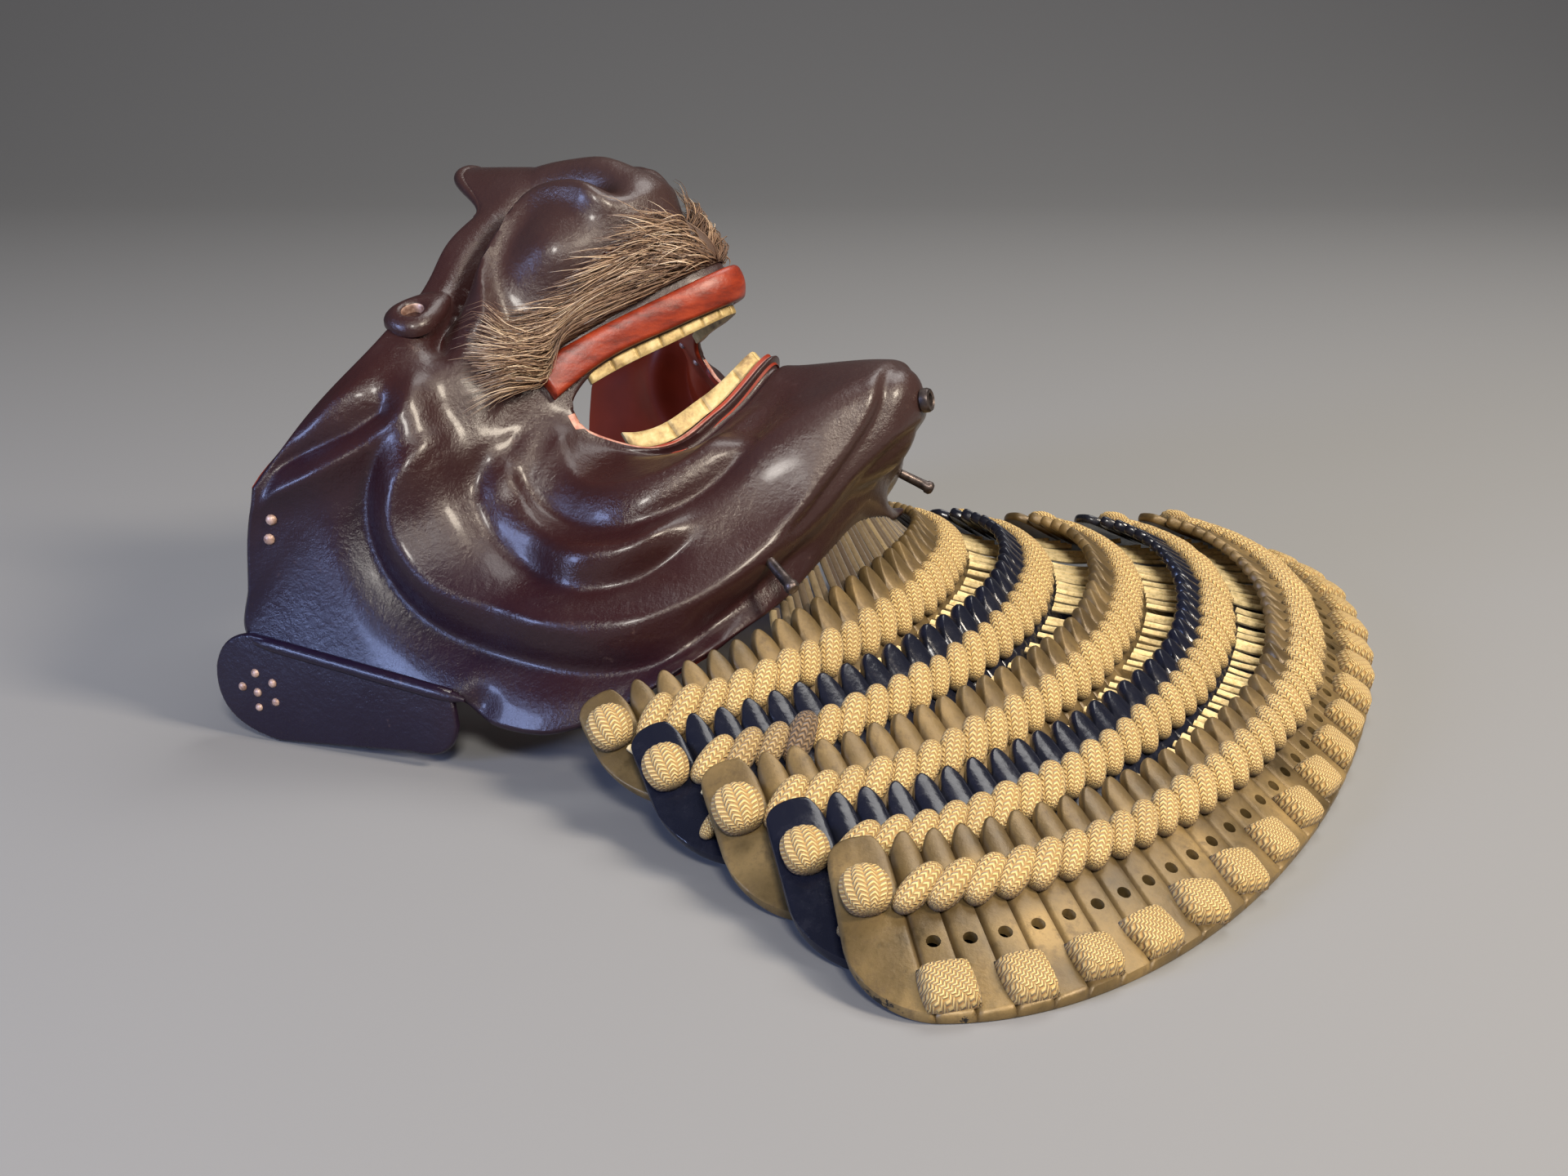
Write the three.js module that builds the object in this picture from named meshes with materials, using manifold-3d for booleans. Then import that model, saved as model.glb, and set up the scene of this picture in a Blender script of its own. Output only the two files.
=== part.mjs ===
// A samurai face guard: an iron half mask with nose, cheeks, open mouth and chin, a hair moustache,
// and a throat guard of five laced lames. The mask lies on its back on the flanges of its cheeks,
// and the lames stand fanned out in front of it on their lower edges.
// Millimetres. X is across, the chin and the lames face -Y, Z is up from the surface it lies on.
import * as THREE from "three";
import { mergeVertices } from "three/addons/utils/BufferGeometryUtils.js";
import Module from "manifold-3d";

const wasm = await Module();
wasm.setup();

// Driving dimensions of the mask
const maskHalfWidth = 78; // from the middle to the rear edge of a cheek
const maskHeight = 100; // from the lower edge of the jaw to the upper edge of the cheeks
const maskDepth = 100; // from the nose back to the middle of a cheek's rear edge
const wall = 2; // hammered iron and lacquer
const leanBack = 55; // degrees that the mask leans back from upright
const jawBehindTopLame = 6.94; // from the top lame's upper edge back to the mask's lower edge
const jawAboveTopLame = 8.39; // from the same edge up to the mask's lower edge
const tabRise = 12; // flared tab at the top of the nose
const tabHalfWidth = 11;
const tabFlare = -4.5;
const clearance = 0.3; // between pieces that touch

// Driving dimensions of the throat guard
const lameCount = 5;
const guardHalfWidth = 136; // half the width across the lowest lame
const guardLength = 137; // from the lowest lame's front foot back to the rear end of the top lame
const lameThickness = 2;
const scalePitch = 6.2; // width of one scale that shows
const endCrowding = 0.15; // how much narrower the scales are at the ends than halfway round
const headHeight = 5; // pointed head of a scale above the notch beside it
const endCorner = 12; // rounding of a lame's lower corner
const lacingHeight = 7.6; // braided row of laces across a lame
const lacingThickness = 3.4;
const laceThickness = 1.4; // layer of laces between two lames
const knotCount = 20; // crossed knots along the foot of the lowest lame
const knotInset = 2.5; // from the end of the lame to the first knot, in scales
const knotWidth = 8.4;
const knotHeight = 7.6;
const knotThickness = 2.2;
const knotRise = 1.6; // from the foot of the lame up to a knot

// Sizes of the small pieces
const lipThickness = 3.2;
const toothThickness = 1.8;
const toothCrown = 0.7; // swelling of a tooth's face
const pegRadius = 1.5;
const pegLength = 8;
const tubeRadius = 2.6;
const tubeBore = 1.5;
const tubeLength = 1.8;
const tubeSink = 0.35; // the chin is flatter than the skin's curve under the tube
const nostrilRadius = 4;
const eyeletLength = 15;
const eyeletWidth = 10;
const eyeletThickness = 2.4;
const eyeletBore = 2.1;
const flangeThickness = 2;
const flangeStandOff = 1.2; // the flange's outer face beyond the cheek's rear edge
const flangeRearDepth = 21.3;
const flangeFrontDepth = 14.6;
const hairThickness = 5;
const lockLength = 30;
const lockCount = 5; // to each side
const lockRadius = 2.6;

// Sections of the mask from the top edge down to the lower edge of the jaw. Each has a share of the
// half width, then [forward, up] in hundredths of the mask's depth and height, at seven places across.
const across = { middle: 0, nose: 0.18, wing: 0.34, corner: 0.43, cheek: 0.7, rear: 0.92, edge: 1 };
const sections = [
  { name: "top edge", width: 1, middle: [-20, 113], nose: [-24, 111], wing: [-31, 109],
    corner: [-36, 105.5], cheek: [-43, 99.5], rear: [-66, 98.5], edge: [-77, 96.5] },
  { name: "bridge", width: 1, middle: [-13.5, 110.5], nose: [-17, 103], wing: [-25, 98],
    corner: [-30, 96], cheek: [-42, 93], rear: [-66, 93], edge: [-88, 92.5] },
  { name: "dorsum", width: 1, middle: [-1, 99], nose: [-8, 95], wing: [-22, 91],
    corner: [-29, 89.5], cheek: [-42, 87.5], rear: [-67, 87], edge: [-98, 87] },
  { name: "ball of the nose", width: 1, middle: [2, 88], nose: [-4, 86.5], wing: [-22, 84],
    corner: [-30, 82.5], cheek: [-43, 81], rear: [-69, 80], edge: [-107, 82] },
  { name: "tip", width: 1, middle: [-1, 77], nose: [-8, 76.5], wing: [-24, 76],
    corner: [-31, 75.5], cheek: [-46, 74], rear: [-70, 71], edge: [-100.5, 70] },
  { name: "top of the upper lip", width: 1, middle: [-4, 60], nose: [-12, 64], wing: [-25, 70],
    corner: [-33, 73], cheek: [-49, 67], rear: [-71, 62], edge: [-94, 58] },
  { name: "upper lip", width: 1, middle: [-9, 54], nose: [-16.5, 58], wing: [-28, 63.5],
    corner: [-35.5, 65], cheek: [-50, 61], rear: [-71, 54], edge: [-88, 47] },
  { name: "lower lip", width: 1, middle: [-13.5, 41], nose: [-25, 40.5], wing: [-36, 45],
    corner: [-40, 55], cheek: [-52, 54], rear: [-71, 47], edge: [-85, 41] },
  { name: "foot of the lower lip", width: 1, middle: [-11, 35], nose: [-20, 34], wing: [-32, 37],
    corner: [-38, 45], cheek: [-51, 45], rear: [-70, 39], edge: [-82.5, 36] },
  { name: "top of the chin", width: 1, middle: [4.6, 17], nose: [-1, 19], wing: [-14, 24],
    corner: [-23, 28], cheek: [-42, 33], rear: [-66, 31], edge: [-82, 27] },
  { name: "chin", width: 1, middle: [2, 6], nose: [-4, 9], wing: [-14, 13],
    corner: [-22, 17], cheek: [-40, 21], rear: [-62, 20], edge: [-76, 17.5] },
  { name: "under the chin", width: 0.97, middle: [-11, 1.5], nose: [-15, 3], wing: [-22, 4.5],
    corner: [-27, 6], cheek: [-41, 10], rear: [-57, 12], edge: [-70, 12] },
  { name: "lower edge", width: 0.93, middle: [-31, 2], nose: [-32.5, 1], wing: [-35.5, 0],
    corner: [-38, -0.5], cheek: [-44, 1], rear: [-52.5, 4.5], edge: [-66, 8.7] },
];
const upperLip = 6;
const lowerLip = 7;
const bottomEdge = sections.length - 1;

// What lies on the skin, by section number from its upper to its lower side and by share across
const lipBand = { from: 4.98, to: 5.96, half: 0.46 };
const hairPad = { from: 4.12, to: 4.84, half: 0.44 };
const upperTeeth = { from: 6.04, to: 6.16, half: 0.36, count: 8, sink: 0.8 };
const lowerTeeth = { from: 6.74, to: 6.95, half: 0.35, count: 8, sink: 1.6 };
const nostrilAt = { share: 0.225, place: 3.95 };
const drainAt = { share: 0, place: 9.95 };
const pegAt = { share: 0.53, place: 11.1, seat: 1.1 };
const eyeletAt = { share: 0.6, place: 0.42, seat: 1.1 };
// The mouth narrows from here to its corner, by this part of its height on each side.
const mouthRounding = { from: 0.34, depth: 0.36 };

// Hammered folds. A ridge runs along the path, and a groove along its left-hand side as the path is
// walked in the side view, nose to the right. Width, ridge and groove are millimetres. The path is
// [forward, up] in the hundredths used above.
const folds = [
  { name: "great fold round the cheek", width: 5, ridge: 2.8, groove: 2.6,
    path: [[-4, 16], [-28, 9], [-48, 15], [-63, 35], [-70, 56], [-66, 69], [-56, 75], [-44, 75]] },
  { name: "fold under the mouth", width: 3.2, ridge: 2, groove: 2,
    path: [[-12, 32], [-28, 32], [-39, 39], [-45, 48], [-44, 57], [-39, 65]] },
  { name: "second fold under the mouth", width: 3.4, ridge: 2.2, groove: 2,
    path: [[-30, 25], [-42, 28], [-50, 37], [-53, 48], [-50, 58], [-44, 66]] },
  { name: "fold of the cheekbone", width: 3.6, ridge: 2, groove: 2.2,
    path: [[-84, 99], [-68, 89], [-57, 84], [-48, 83], [-43, 91]] },
  { name: "ring round the wing of the nose", width: 3, ridge: 1.6, groove: 2,
    path: [[-36, 82], [-32, 90], [-26, 97], [-15, 100], [-6, 93], [-4, 82]] },
];
// Round swellings: a centre [forward, up], a radius and a height.
const swellings = [
  { name: "wing of the nose", centre: [-17, 88], radius: 9, height: 2.6 },
  { name: "cheekbone", centre: [-60, 98], radius: 13, height: 2.2 },
  { name: "corner of the jaw", centre: [-52, 30], radius: 16, height: 1.6 },
];

// Lames from the top one down. Half width and the far points are shares of the guard's half width and
// length, heights above the surface are shares of the lowest lame's slant height.
const lameRise = 16.5; // height of the lowest lame's upper edge
const lames = [
  { name: "top_lame", half: 0.58, rear: 1.02, front: 0.748, rearUp: 1.17, frontUp: 1.84,
    footHalf: 0.68, footRear: 0.9, footFront: 0.6, footUp: 0.4 },
  { name: "second_lame", half: 0.632, rear: 0.91, front: 0.59, rearUp: 1.11, frontUp: 1.63,
    footHalf: 0.765, footRear: 0.77, footFront: 0.44, footUp: 0.15 },
  { name: "middle_lame", half: 0.697, rear: 0.77, front: 0.434, rearUp: 1.06, frontUp: 1.42,
    footHalf: 0.86, footRear: 0.63, footFront: 0.285, footUp: 0.05 },
  { name: "fourth_lame", half: 0.765, rear: 0.645, front: 0.284, rearUp: 1.01, frontUp: 1.2,
    footHalf: 0.955, footRear: 0.505, footFront: 0.125, footUp: 0.05 },
  { name: "lowest_lame", half: 0.834, rear: 0.53, front: 0.137, rearUp: 1, frontUp: 1,
    footHalf: 1.035, footRear: 0.41, footFront: -0.025, footUp: 0.05 },
];
const upperRoundness = 1.8; // 2 is an ellipse, more is squarer
const lowerRoundness = 2.2;

// Colours and finishes
const looks = {
  lacquer: { color: 0x2c1a20, roughness: 0.35, metalness: 0.3 },
  redLacquer: { color: 0x9c3214, roughness: 0.45, metalness: 0 },
  gold: { color: 0xc2a257, roughness: 0.35, metalness: 0.7 },
  hair: { color: 0x6b5540, roughness: 0.9, metalness: 0 },
  agedGold: { color: 0x83693a, roughness: 0.5, metalness: 0.4 },
  blackLacquer: { color: 0x14151c, roughness: 0.3, metalness: 0.1 },
  lacing: { color: 0xe2c384, roughness: 0.9, metalness: 0 },
  iron: { color: 0x4a4343, roughness: 0.45, metalness: 0.8 },
};

// Small helpers
const clamp = (x, low, high) => Math.min(high, Math.max(low, x));
const smooth = (x) => x * x * (3 - 2 * x);
const vector = (x, y, z) => new THREE.Vector3(x, y, z);

// A smooth curve through values at uneven places.
function tangents(places, values) {
  const slope = (i) => (values[i + 1] - values[i]) / (places[i + 1] - places[i]);
  return values.map((_, i) => {
    if (i === 0) return slope(0);
    if (i === values.length - 1) return slope(i - 1);
    const before = places[i] - places[i - 1];
    const after = places[i + 1] - places[i];
    return (slope(i - 1) * after + slope(i) * before) / (before + after);
  });
}

function through(places, values, x) {
  const slopes = tangents(places, values);
  let i = 0;
  while (i < places.length - 2 && x >= places[i + 1]) i++;
  const h = places[i + 1] - places[i];
  const s = (x - places[i]) / h;
  return (
    (2 * s ** 3 - 3 * s ** 2 + 1) * values[i] +
    (s ** 3 - 2 * s ** 2 + s) * h * slopes[i] +
    (3 * s ** 2 - 2 * s ** 3) * values[i + 1] +
    (s ** 3 - s ** 2) * h * slopes[i + 1]
  );
}

// The mask's skin at a share across (-1 to 1) and a section number, in the upright mask's own frame:
// X across, the nose faces -Y, Z up from the jaw.
const acrossNames = Object.keys(across);
const acrossPlaces = [-across.nose, ...Object.values(across)];
const sectionPlaces = sections.map((_, i) => i);
const columnCache = new Map();

function columnAt(share) {
  const key = share.toFixed(4);
  if (!columnCache.has(key)) {
    const rows = sections.map((section) => {
      const read = (axis) => {
        const values = acrossNames.map((name) => section[name][axis]);
        return through(acrossPlaces, [values[1], ...values], share);
      };
      return { width: section.width, forward: read(0), up: read(1) };
    });
    columnCache.set(key, rows);
  }
  return columnCache.get(key);
}

function skin(share, place) {
  const rows = columnAt(Math.abs(share));
  const read = (name) => through(sectionPlaces, rows.map((row) => row[name]), place);
  const x = share * maskHalfWidth * read("width");
  const tab = Math.exp(-((x / tabHalfWidth) ** 4)) * clamp(1 - place, 0, 1);
  const forward = (read("forward") / 100) * maskDepth + tab * tabFlare;
  const up = (read("up") / 100) * maskHeight + tab * tabRise;
  return vector(x, -forward, up);
}

// The outward normal of a surface that is given as a function of two numbers.
function normalOf(surface, a, b, step) {
  const alongA = surface(a + step, b).sub(surface(a - step, b));
  const alongB = surface(a, b + step).sub(surface(a, b - step));
  return alongB.cross(alongA).normalize();
}

function skinNormal(share, place) {
  const step = 0.004;
  const s = clamp(share, -1 + step, 1 - step);
  const p = clamp(place, step, bottomEdge - step);
  return normalOf(skin, s, p, step);
}

// A fold's path as a smooth curve in the side view.
const foldCurves = folds.map((fold) => {
  const points = fold.path.map(([forward, up]) =>
    vector((forward / 100) * maskDepth, (up / 100) * maskHeight, 0),
  );
  return new THREE.CatmullRomCurve3(points).getPoints(28);
});

const grooveDistance = 1.6; // from ridge to groove, in widths of the fold

function foldHeight(fold, curve, forward, up) {
  let nearest = Infinity;
  let side = 0;
  let along = 0;
  for (let i = 0; i < curve.length - 1; i++) {
    const dx = curve[i + 1].x - curve[i].x;
    const dy = curve[i + 1].y - curve[i].y;
    const px = forward - curve[i].x;
    const py = up - curve[i].y;
    const t = clamp((px * dx + py * dy) / (dx * dx + dy * dy), 0, 1);
    const distance = Math.hypot(px - t * dx, py - t * dy);
    if (distance < nearest) {
      nearest = distance;
      side = Math.sign(dx * py - dy * px);
      along = (i + t) / (curve.length - 1);
    }
  }
  const fade = smooth(clamp(Math.min(along, 1 - along) * 6, 0, 1));
  const offset = nearest * side;
  const ridge = fold.ridge * Math.exp(-((offset / fold.width) ** 2));
  const beside = offset - fold.width * grooveDistance;
  const groove = fold.groove * Math.exp(-((beside / fold.width) ** 2));
  return fade * (ridge - groove);
}

function relief(point) {
  const forward = -point.y;
  const up = point.z;
  let height = 0;
  folds.forEach((fold, i) => {
    height += foldHeight(fold, foldCurves[i], forward, up);
  });
  for (const swelling of swellings) {
    const [centreForward, centreUp] = swelling.centre;
    const away = Math.hypot(
      forward - (centreForward / 100) * maskDepth,
      up - (centreUp / 100) * maskHeight,
    );
    height += swelling.height * Math.exp(-((away / swelling.radius) ** 2));
  }
  return height;
}

// The relief dies away at the upper and lower edges.
function hammered(share, place) {
  const point = skin(share, place);
  const fromEdge = Math.min(place / 0.8, (bottomEdge - place) / 0.6);
  const height = relief(point) * smooth(clamp(fromEdge, 0, 1));
  return point.addScaledVector(skinNormal(share, place), height);
}

function skinOffset(share, place, offset) {
  return hammered(share, place).addScaledVector(skinNormal(share, place), offset);
}

// Meshes from grids of points
function geometryFrom(points, faces) {
  const geometry = new THREE.BufferGeometry();
  geometry.setAttribute(
    "position",
    new THREE.Float32BufferAttribute(points.flatMap((p) => [p.x, p.y, p.z]), 3),
  );
  geometry.setIndex(faces.flat());
  return geometry;
}

// A closed tube of rings, each ring the same number of points, with flat ends.
function tubeOf(rings) {
  const sides = rings[0].length;
  const points = rings.flat();
  const faces = [];
  for (let i = 0; i < rings.length - 1; i++) {
    for (let j = 0; j < sides; j++) {
      const a = i * sides + j;
      const b = i * sides + ((j + 1) % sides);
      faces.push([a, b, b + sides], [a, b + sides, a + sides]);
    }
  }
  const last = (rings.length - 1) * sides;
  for (let j = 1; j < sides - 1; j++) {
    faces.push([0, j + 1, j], [last, last + j, last + j + 1]);
  }
  return outward(geometryFrom(points, faces));
}

// Turns a closed mesh the right way out.
function outward(geometry) {
  const position = geometry.getAttribute("position");
  const index = geometry.getIndex().array;
  const corner = (k) => new THREE.Vector3().fromBufferAttribute(position, index[k]);
  let volume = 0;
  for (let k = 0; k < index.length; k += 3) {
    volume += corner(k).dot(corner(k + 1).cross(corner(k + 2)));
  }
  if (volume < 0) {
    for (let k = 0; k < index.length; k += 3) {
      [index[k + 1], index[k + 2]] = [index[k + 2], index[k + 1]];
    }
  }
  return geometry;
}

// A wall between two offsets of a grid, with the cells that open() names left out.
function wallOf(columns, rows, outerAt, innerAt, open) {
  const points = [];
  const faces = [];
  const nodes = columns.length * rows.length;
  for (const at of [outerAt, innerAt]) {
    for (const a of columns) for (const b of rows) points.push(at(a, b));
  }
  const id = (i, j) => i * rows.length + j;
  const filled = (i, j) =>
    i >= 0 && j >= 0 && i < columns.length - 1 && j < rows.length - 1 &&
    !open((columns[i] + columns[i + 1]) / 2, (rows[j] + rows[j + 1]) / 2);
  const quad = (a, b, c, d) => faces.push([a, b, c], [a, c, d]);
  for (let i = 0; i < columns.length - 1; i++) {
    for (let j = 0; j < rows.length - 1; j++) {
      if (!filled(i, j)) continue;
      const [a, b, c, d] = [id(i, j), id(i + 1, j), id(i + 1, j + 1), id(i, j + 1)];
      quad(a, b, c, d);
      quad(a + nodes, d + nodes, c + nodes, b + nodes);
      if (!filled(i - 1, j)) quad(d, d + nodes, a + nodes, a);
      if (!filled(i + 1, j)) quad(b, b + nodes, c + nodes, c);
      if (!filled(i, j - 1)) quad(a, a + nodes, b + nodes, b);
      if (!filled(i, j + 1)) quad(c, c + nodes, d + nodes, d);
    }
  }
  return outward(bareMesh(geometryFrom(points, faces).toNonIndexed()));
}

// The same mesh with positions only, equal points merged and unused ones dropped.
function bareMesh(geometry) {
  const bare = geometry.clone();
  bare.deleteAttribute("normal");
  bare.deleteAttribute("uv");
  return mergeVertices(bare, 1e-4);
}

function span(from, to, steps) {
  return Array.from({ length: steps + 1 }, (_, i) => from + ((to - from) * i) / steps);
}

// Solids for cutting and joining
function solidOf(geometry) {
  const merged = bareMesh(geometry);
  return new wasm.Manifold(
    new wasm.Mesh({
      numProp: 3,
      vertProperties: merged.getAttribute("position").array,
      triVerts: new Uint32Array(merged.getIndex().array),
    }),
  );
}

// Points closer than this are joined, so that no sliver is left along a cut.
const sliver = 0.02;

function geometryOf(solid) {
  const mesh = solid.simplify(sliver).getMesh();
  const geometry = new THREE.BufferGeometry();
  geometry.setAttribute("position", new THREE.BufferAttribute(mesh.vertProperties, 3));
  geometry.setIndex(new THREE.BufferAttribute(mesh.triVerts, 1));
  return geometry;
}

const finishes = Object.fromEntries(
  Object.entries(looks).map(([name, look]) => [name, new THREE.MeshStandardMaterial(look)]),
);

function piece(name, geometry, finish) {
  const mesh = new THREE.Mesh(geometry, finishes[finish].clone());
  mesh.name = name;
  return mesh;
}

// Turns a geometry made along +Z so that +Z points along a direction, and puts it at a point.
function placed(geometry, direction, point) {
  const turn = new THREE.Quaternion().setFromUnitVectors(vector(0, 0, 1), direction);
  return geometry.applyQuaternion(turn).translate(point.x, point.y, point.z);
}

// Moves the rows of the grid beside the mouth, so that its corners are round.
function roundedMouth(share, row) {
  const wide = Math.abs(share);
  const ease = clamp((wide - mouthRounding.from) / (across.corner - mouthRounding.from), 0, 1);
  const beyond = clamp((wide - across.corner) / 0.2, 0, 1);
  const closing = mouthRounding.depth *
    (wide <= across.corner ? 1 - Math.sqrt(1 - ease ** 2) : 1 - smooth(beyond));
  if (row <= upperLip) return row + clamp(row - upperLip + 1, 0, 1) * closing;
  if (row < lowerLip) return row + closing * (upperLip + lowerLip - 2 * row);
  return row - clamp(lowerLip + 1 - row, 0, 1) * closing;
}

// The mask shell: two walls of a grid, with the mouth open, flanges joined on and holes cut
function maskShell() {
  const half = [
    ...span(0, across.wing, 4),
    ...span(across.wing, across.corner, 2).slice(1),
    ...span(across.corner, across.cheek, 4).slice(1),
    ...span(across.cheek, across.rear, 4).slice(1),
    ...span(across.rear, 1, 1).slice(1),
  ];
  const columns = [...half.slice(1).reverse().map((a) => -a), ...half];
  const rowSteps = [2, 2, 2, 2, 2, 1, 2, 2, 3, 2, 2, 2];
  const rows = [0];
  rowSteps.forEach((steps, i) => rows.push(...span(i, i + 1, steps).slice(1)));
  const inMouth = (share, place) =>
    Math.abs(share) < across.corner && place > upperLip && place < lowerLip;
  const outer = (share, row) => hammered(share, roundedMouth(share, row));
  const inner = (share, row) => {
    const place = roundedMouth(share, row);
    const s = clamp(share, -1 + 0.004, 1 - 0.004);
    const p = clamp(place, 0.004, bottomEdge - 0.004);
    const inward = normalOf(hammered, s, p, 0.02);
    return hammered(share, place).addScaledVector(inward, -wall);
  };
  let shell = solidOf(wallOf(columns, rows, outer, inner, inMouth));
  for (const side of [-1, 1]) {
    shell = shell.add(solidOf(flange(side)));
    shell = shell.subtract(solidOf(nostril(side)));
  }
  shell = shell.subtract(solidOf(drainBore()));
  return geometryOf(shell);
}

// The flange's frame: along the fold from its front corner to its rear one, and down from the fold.
const foldFront = vector(82.5 * -0.01 * maskDepth, 0.36 * maskHeight, 0);
const foldRear = vector(-1.07 * maskDepth, 0.82 * maskHeight, 0);

function flange(side) {
  const along = foldRear.clone().sub(foldFront);
  const length = along.length();
  along.normalize();
  const down = vector(-along.y, along.x, 0);
  const at = (s, t) => {
    const p = foldFront.clone().addScaledVector(along, s).addScaledVector(down, t);
    return [p.x, p.y];
  };
  const root = -1.5;
  const shape = new THREE.Shape();
  shape.moveTo(...at(1, root));
  shape.lineTo(...at(-1, 6));
  shape.quadraticCurveTo(...at(-1, flangeFrontDepth), ...at(9, flangeFrontDepth));
  shape.lineTo(...at(length - 10, flangeRearDepth));
  shape.quadraticCurveTo(...at(length + 7, flangeRearDepth), ...at(length + 7, 8));
  shape.quadraticCurveTo(...at(length + 6, 0), ...at(length - 2, root));
  const plate = new THREE.ExtrudeGeometry(shape, {
    depth: flangeThickness,
    bevelEnabled: false,
    curveSegments: 5,
  });
  // The shape is drawn in forward and up, and its depth becomes the way across.
  const outerFace = maskHalfWidth + flangeStandOff;
  const turned = new THREE.Matrix4().set(
    0, 0, side, side * (outerFace - flangeThickness),
    -1, 0, 0, 0,
    0, 1, 0, 0,
    0, 0, 0, 1,
  );
  plate.applyMatrix4(turned);
  return outward(bareMesh(plate));
}

function nostril(side) {
  const share = side * nostrilAt.share;
  const place = nostrilAt.place;
  const ball = new THREE.SphereGeometry(nostrilRadius, 8, 6).scale(1.3, 0.9, 1.6);
  return placed(ball, skinNormal(share, place), hammered(share, place));
}

function drainBore() {
  const { share, place } = drainAt;
  const bore = new THREE.CylinderGeometry(tubeBore, tubeBore, 4 * wall, 8).rotateX(Math.PI / 2);
  return placed(bore, skinNormal(share, place), hammered(share, place));
}

function drainTube() {
  const from = clearance;
  const to = clearance + tubeLength;
  const profile = [
    new THREE.Vector2(tubeBore, from),
    new THREE.Vector2(tubeRadius, from),
    new THREE.Vector2(tubeRadius * 0.9, to),
    new THREE.Vector2(tubeBore, to),
    new THREE.Vector2(tubeBore, from),
  ];
  const tube = new THREE.LatheGeometry(profile, 12).rotateX(Math.PI / 2);
  const { share, place } = drainAt;
  return placed(tube, skinNormal(share, place), skinOffset(share, place, -tubeSink));
}

function peg(side) {
  const shaft = new THREE.CylinderGeometry(pegRadius, pegRadius, pegLength, 12).rotateX(Math.PI / 2);
  shaft.translate(0, 0, pegLength / 2);
  const direction = vector(side * 0.43, -0.06, -0.9).normalize();
  return placed(shaft, direction, skinOffset(side * pegAt.share, pegAt.place, pegAt.seat));
}

// 1 along the middle of a band and 0 along its sides.
function acrossBand({ from, to }, place) {
  return Math.max(0, 1 - ((2 * place - from - to) / (to - from)) ** 2);
}

// A piece that lies on the skin between two sections, crowned across its width.
function band(columns, rows, lowAt, highAt) {
  const low = (share, place) => skinOffset(share, place, lowAt(share, place));
  const high = (share, place) => skinOffset(share, place, highAt(share, place));
  return wallOf(columns, rows, high, low, () => false);
}

function upperLipBand() {
  const columns = span(-lipBand.half, lipBand.half, 12);
  const rows = span(lipBand.from, lipBand.to, 3);
  const crown = (share, place) => lipThickness * (0.62 + 0.38 * acrossBand(lipBand, place));
  return band(columns, rows, () => clearance + 0.5, crown);
}

// Teeth stand in the mouth behind the lips, each one crowned, in one strip.
function teeth({ from, to, half, count, sink }) {
  const columns = span(-half, half, count * 2);
  const face = (share) => {
    const tooth = ((share + half) / (2 * half)) * count;
    const within = tooth - Math.floor(tooth);
    return -sink + (Math.abs(within - 0.5) < 0.25 ? toothCrown : 0);
  };
  return band(columns, [from, to], () => -sink - toothThickness, face);
}

// The moustache: a hair pad over the upper lip with tapering locks fused to each end.
function moustache() {
  const columns = span(-hairPad.half, hairPad.half, 12);
  const rows = span(hairPad.from, hairPad.to, 2);
  const pad = band(columns, rows, () => clearance + 0.6, (share, place) => {
    const rise = 0.5 + 0.5 * acrossBand(hairPad, place);
    return 2.5 + hairThickness * rise * (1 - 0.6 * Math.abs(share));
  });
  let solid = solidOf(pad);
  for (const side of [-1, 1]) {
    for (let i = 0; i < lockCount; i++) {
      solid = solid.add(solidOf(lock(side, i / (lockCount - 1))));
    }
  }
  return geometryOf(solid);
}

// A lock grows out of the pad and bends back over the cheek. The first ones lie highest.
function lock(side, share) {
  const rootShare = side * (0.34 + 0.06 * Math.sin(share * Math.PI));
  const rootPlace = 4.35 + 0.4 * share;
  const root = skinOffset(rootShare, rootPlace, 3.4);
  const tipShare = side * (0.64 + 0.04 * Math.sin(share * 9));
  const tipPlace = 1.9 + 2.6 * share;
  const tip = skinOffset(tipShare, tipPlace, 5);
  const reach = tip.clone().sub(root).setLength(lockLength * (0.9 + 0.1 * Math.sin(share * 11)));
  const out = skinNormal(rootShare, rootPlace);
  const ringAt = (t, radius) => {
    const centre = root.clone().addScaledVector(reach, t).addScaledVector(out, 8 * t * (1 - t));
    const acrossLock = reach.clone().cross(out).setLength(radius);
    const outLock = out.clone().setLength(radius * 0.8);
    return span(0, 3, 3).map((k) => {
      const angle = (k * Math.PI) / 2;
      return centre.clone()
        .addScaledVector(acrossLock, Math.cos(angle))
        .addScaledVector(outLock, Math.sin(angle));
    });
  };
  return tubeOf([ringAt(0, lockRadius), ringAt(0.5, lockRadius * 0.8), ringAt(1, lockRadius * 0.2)]);
}

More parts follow.
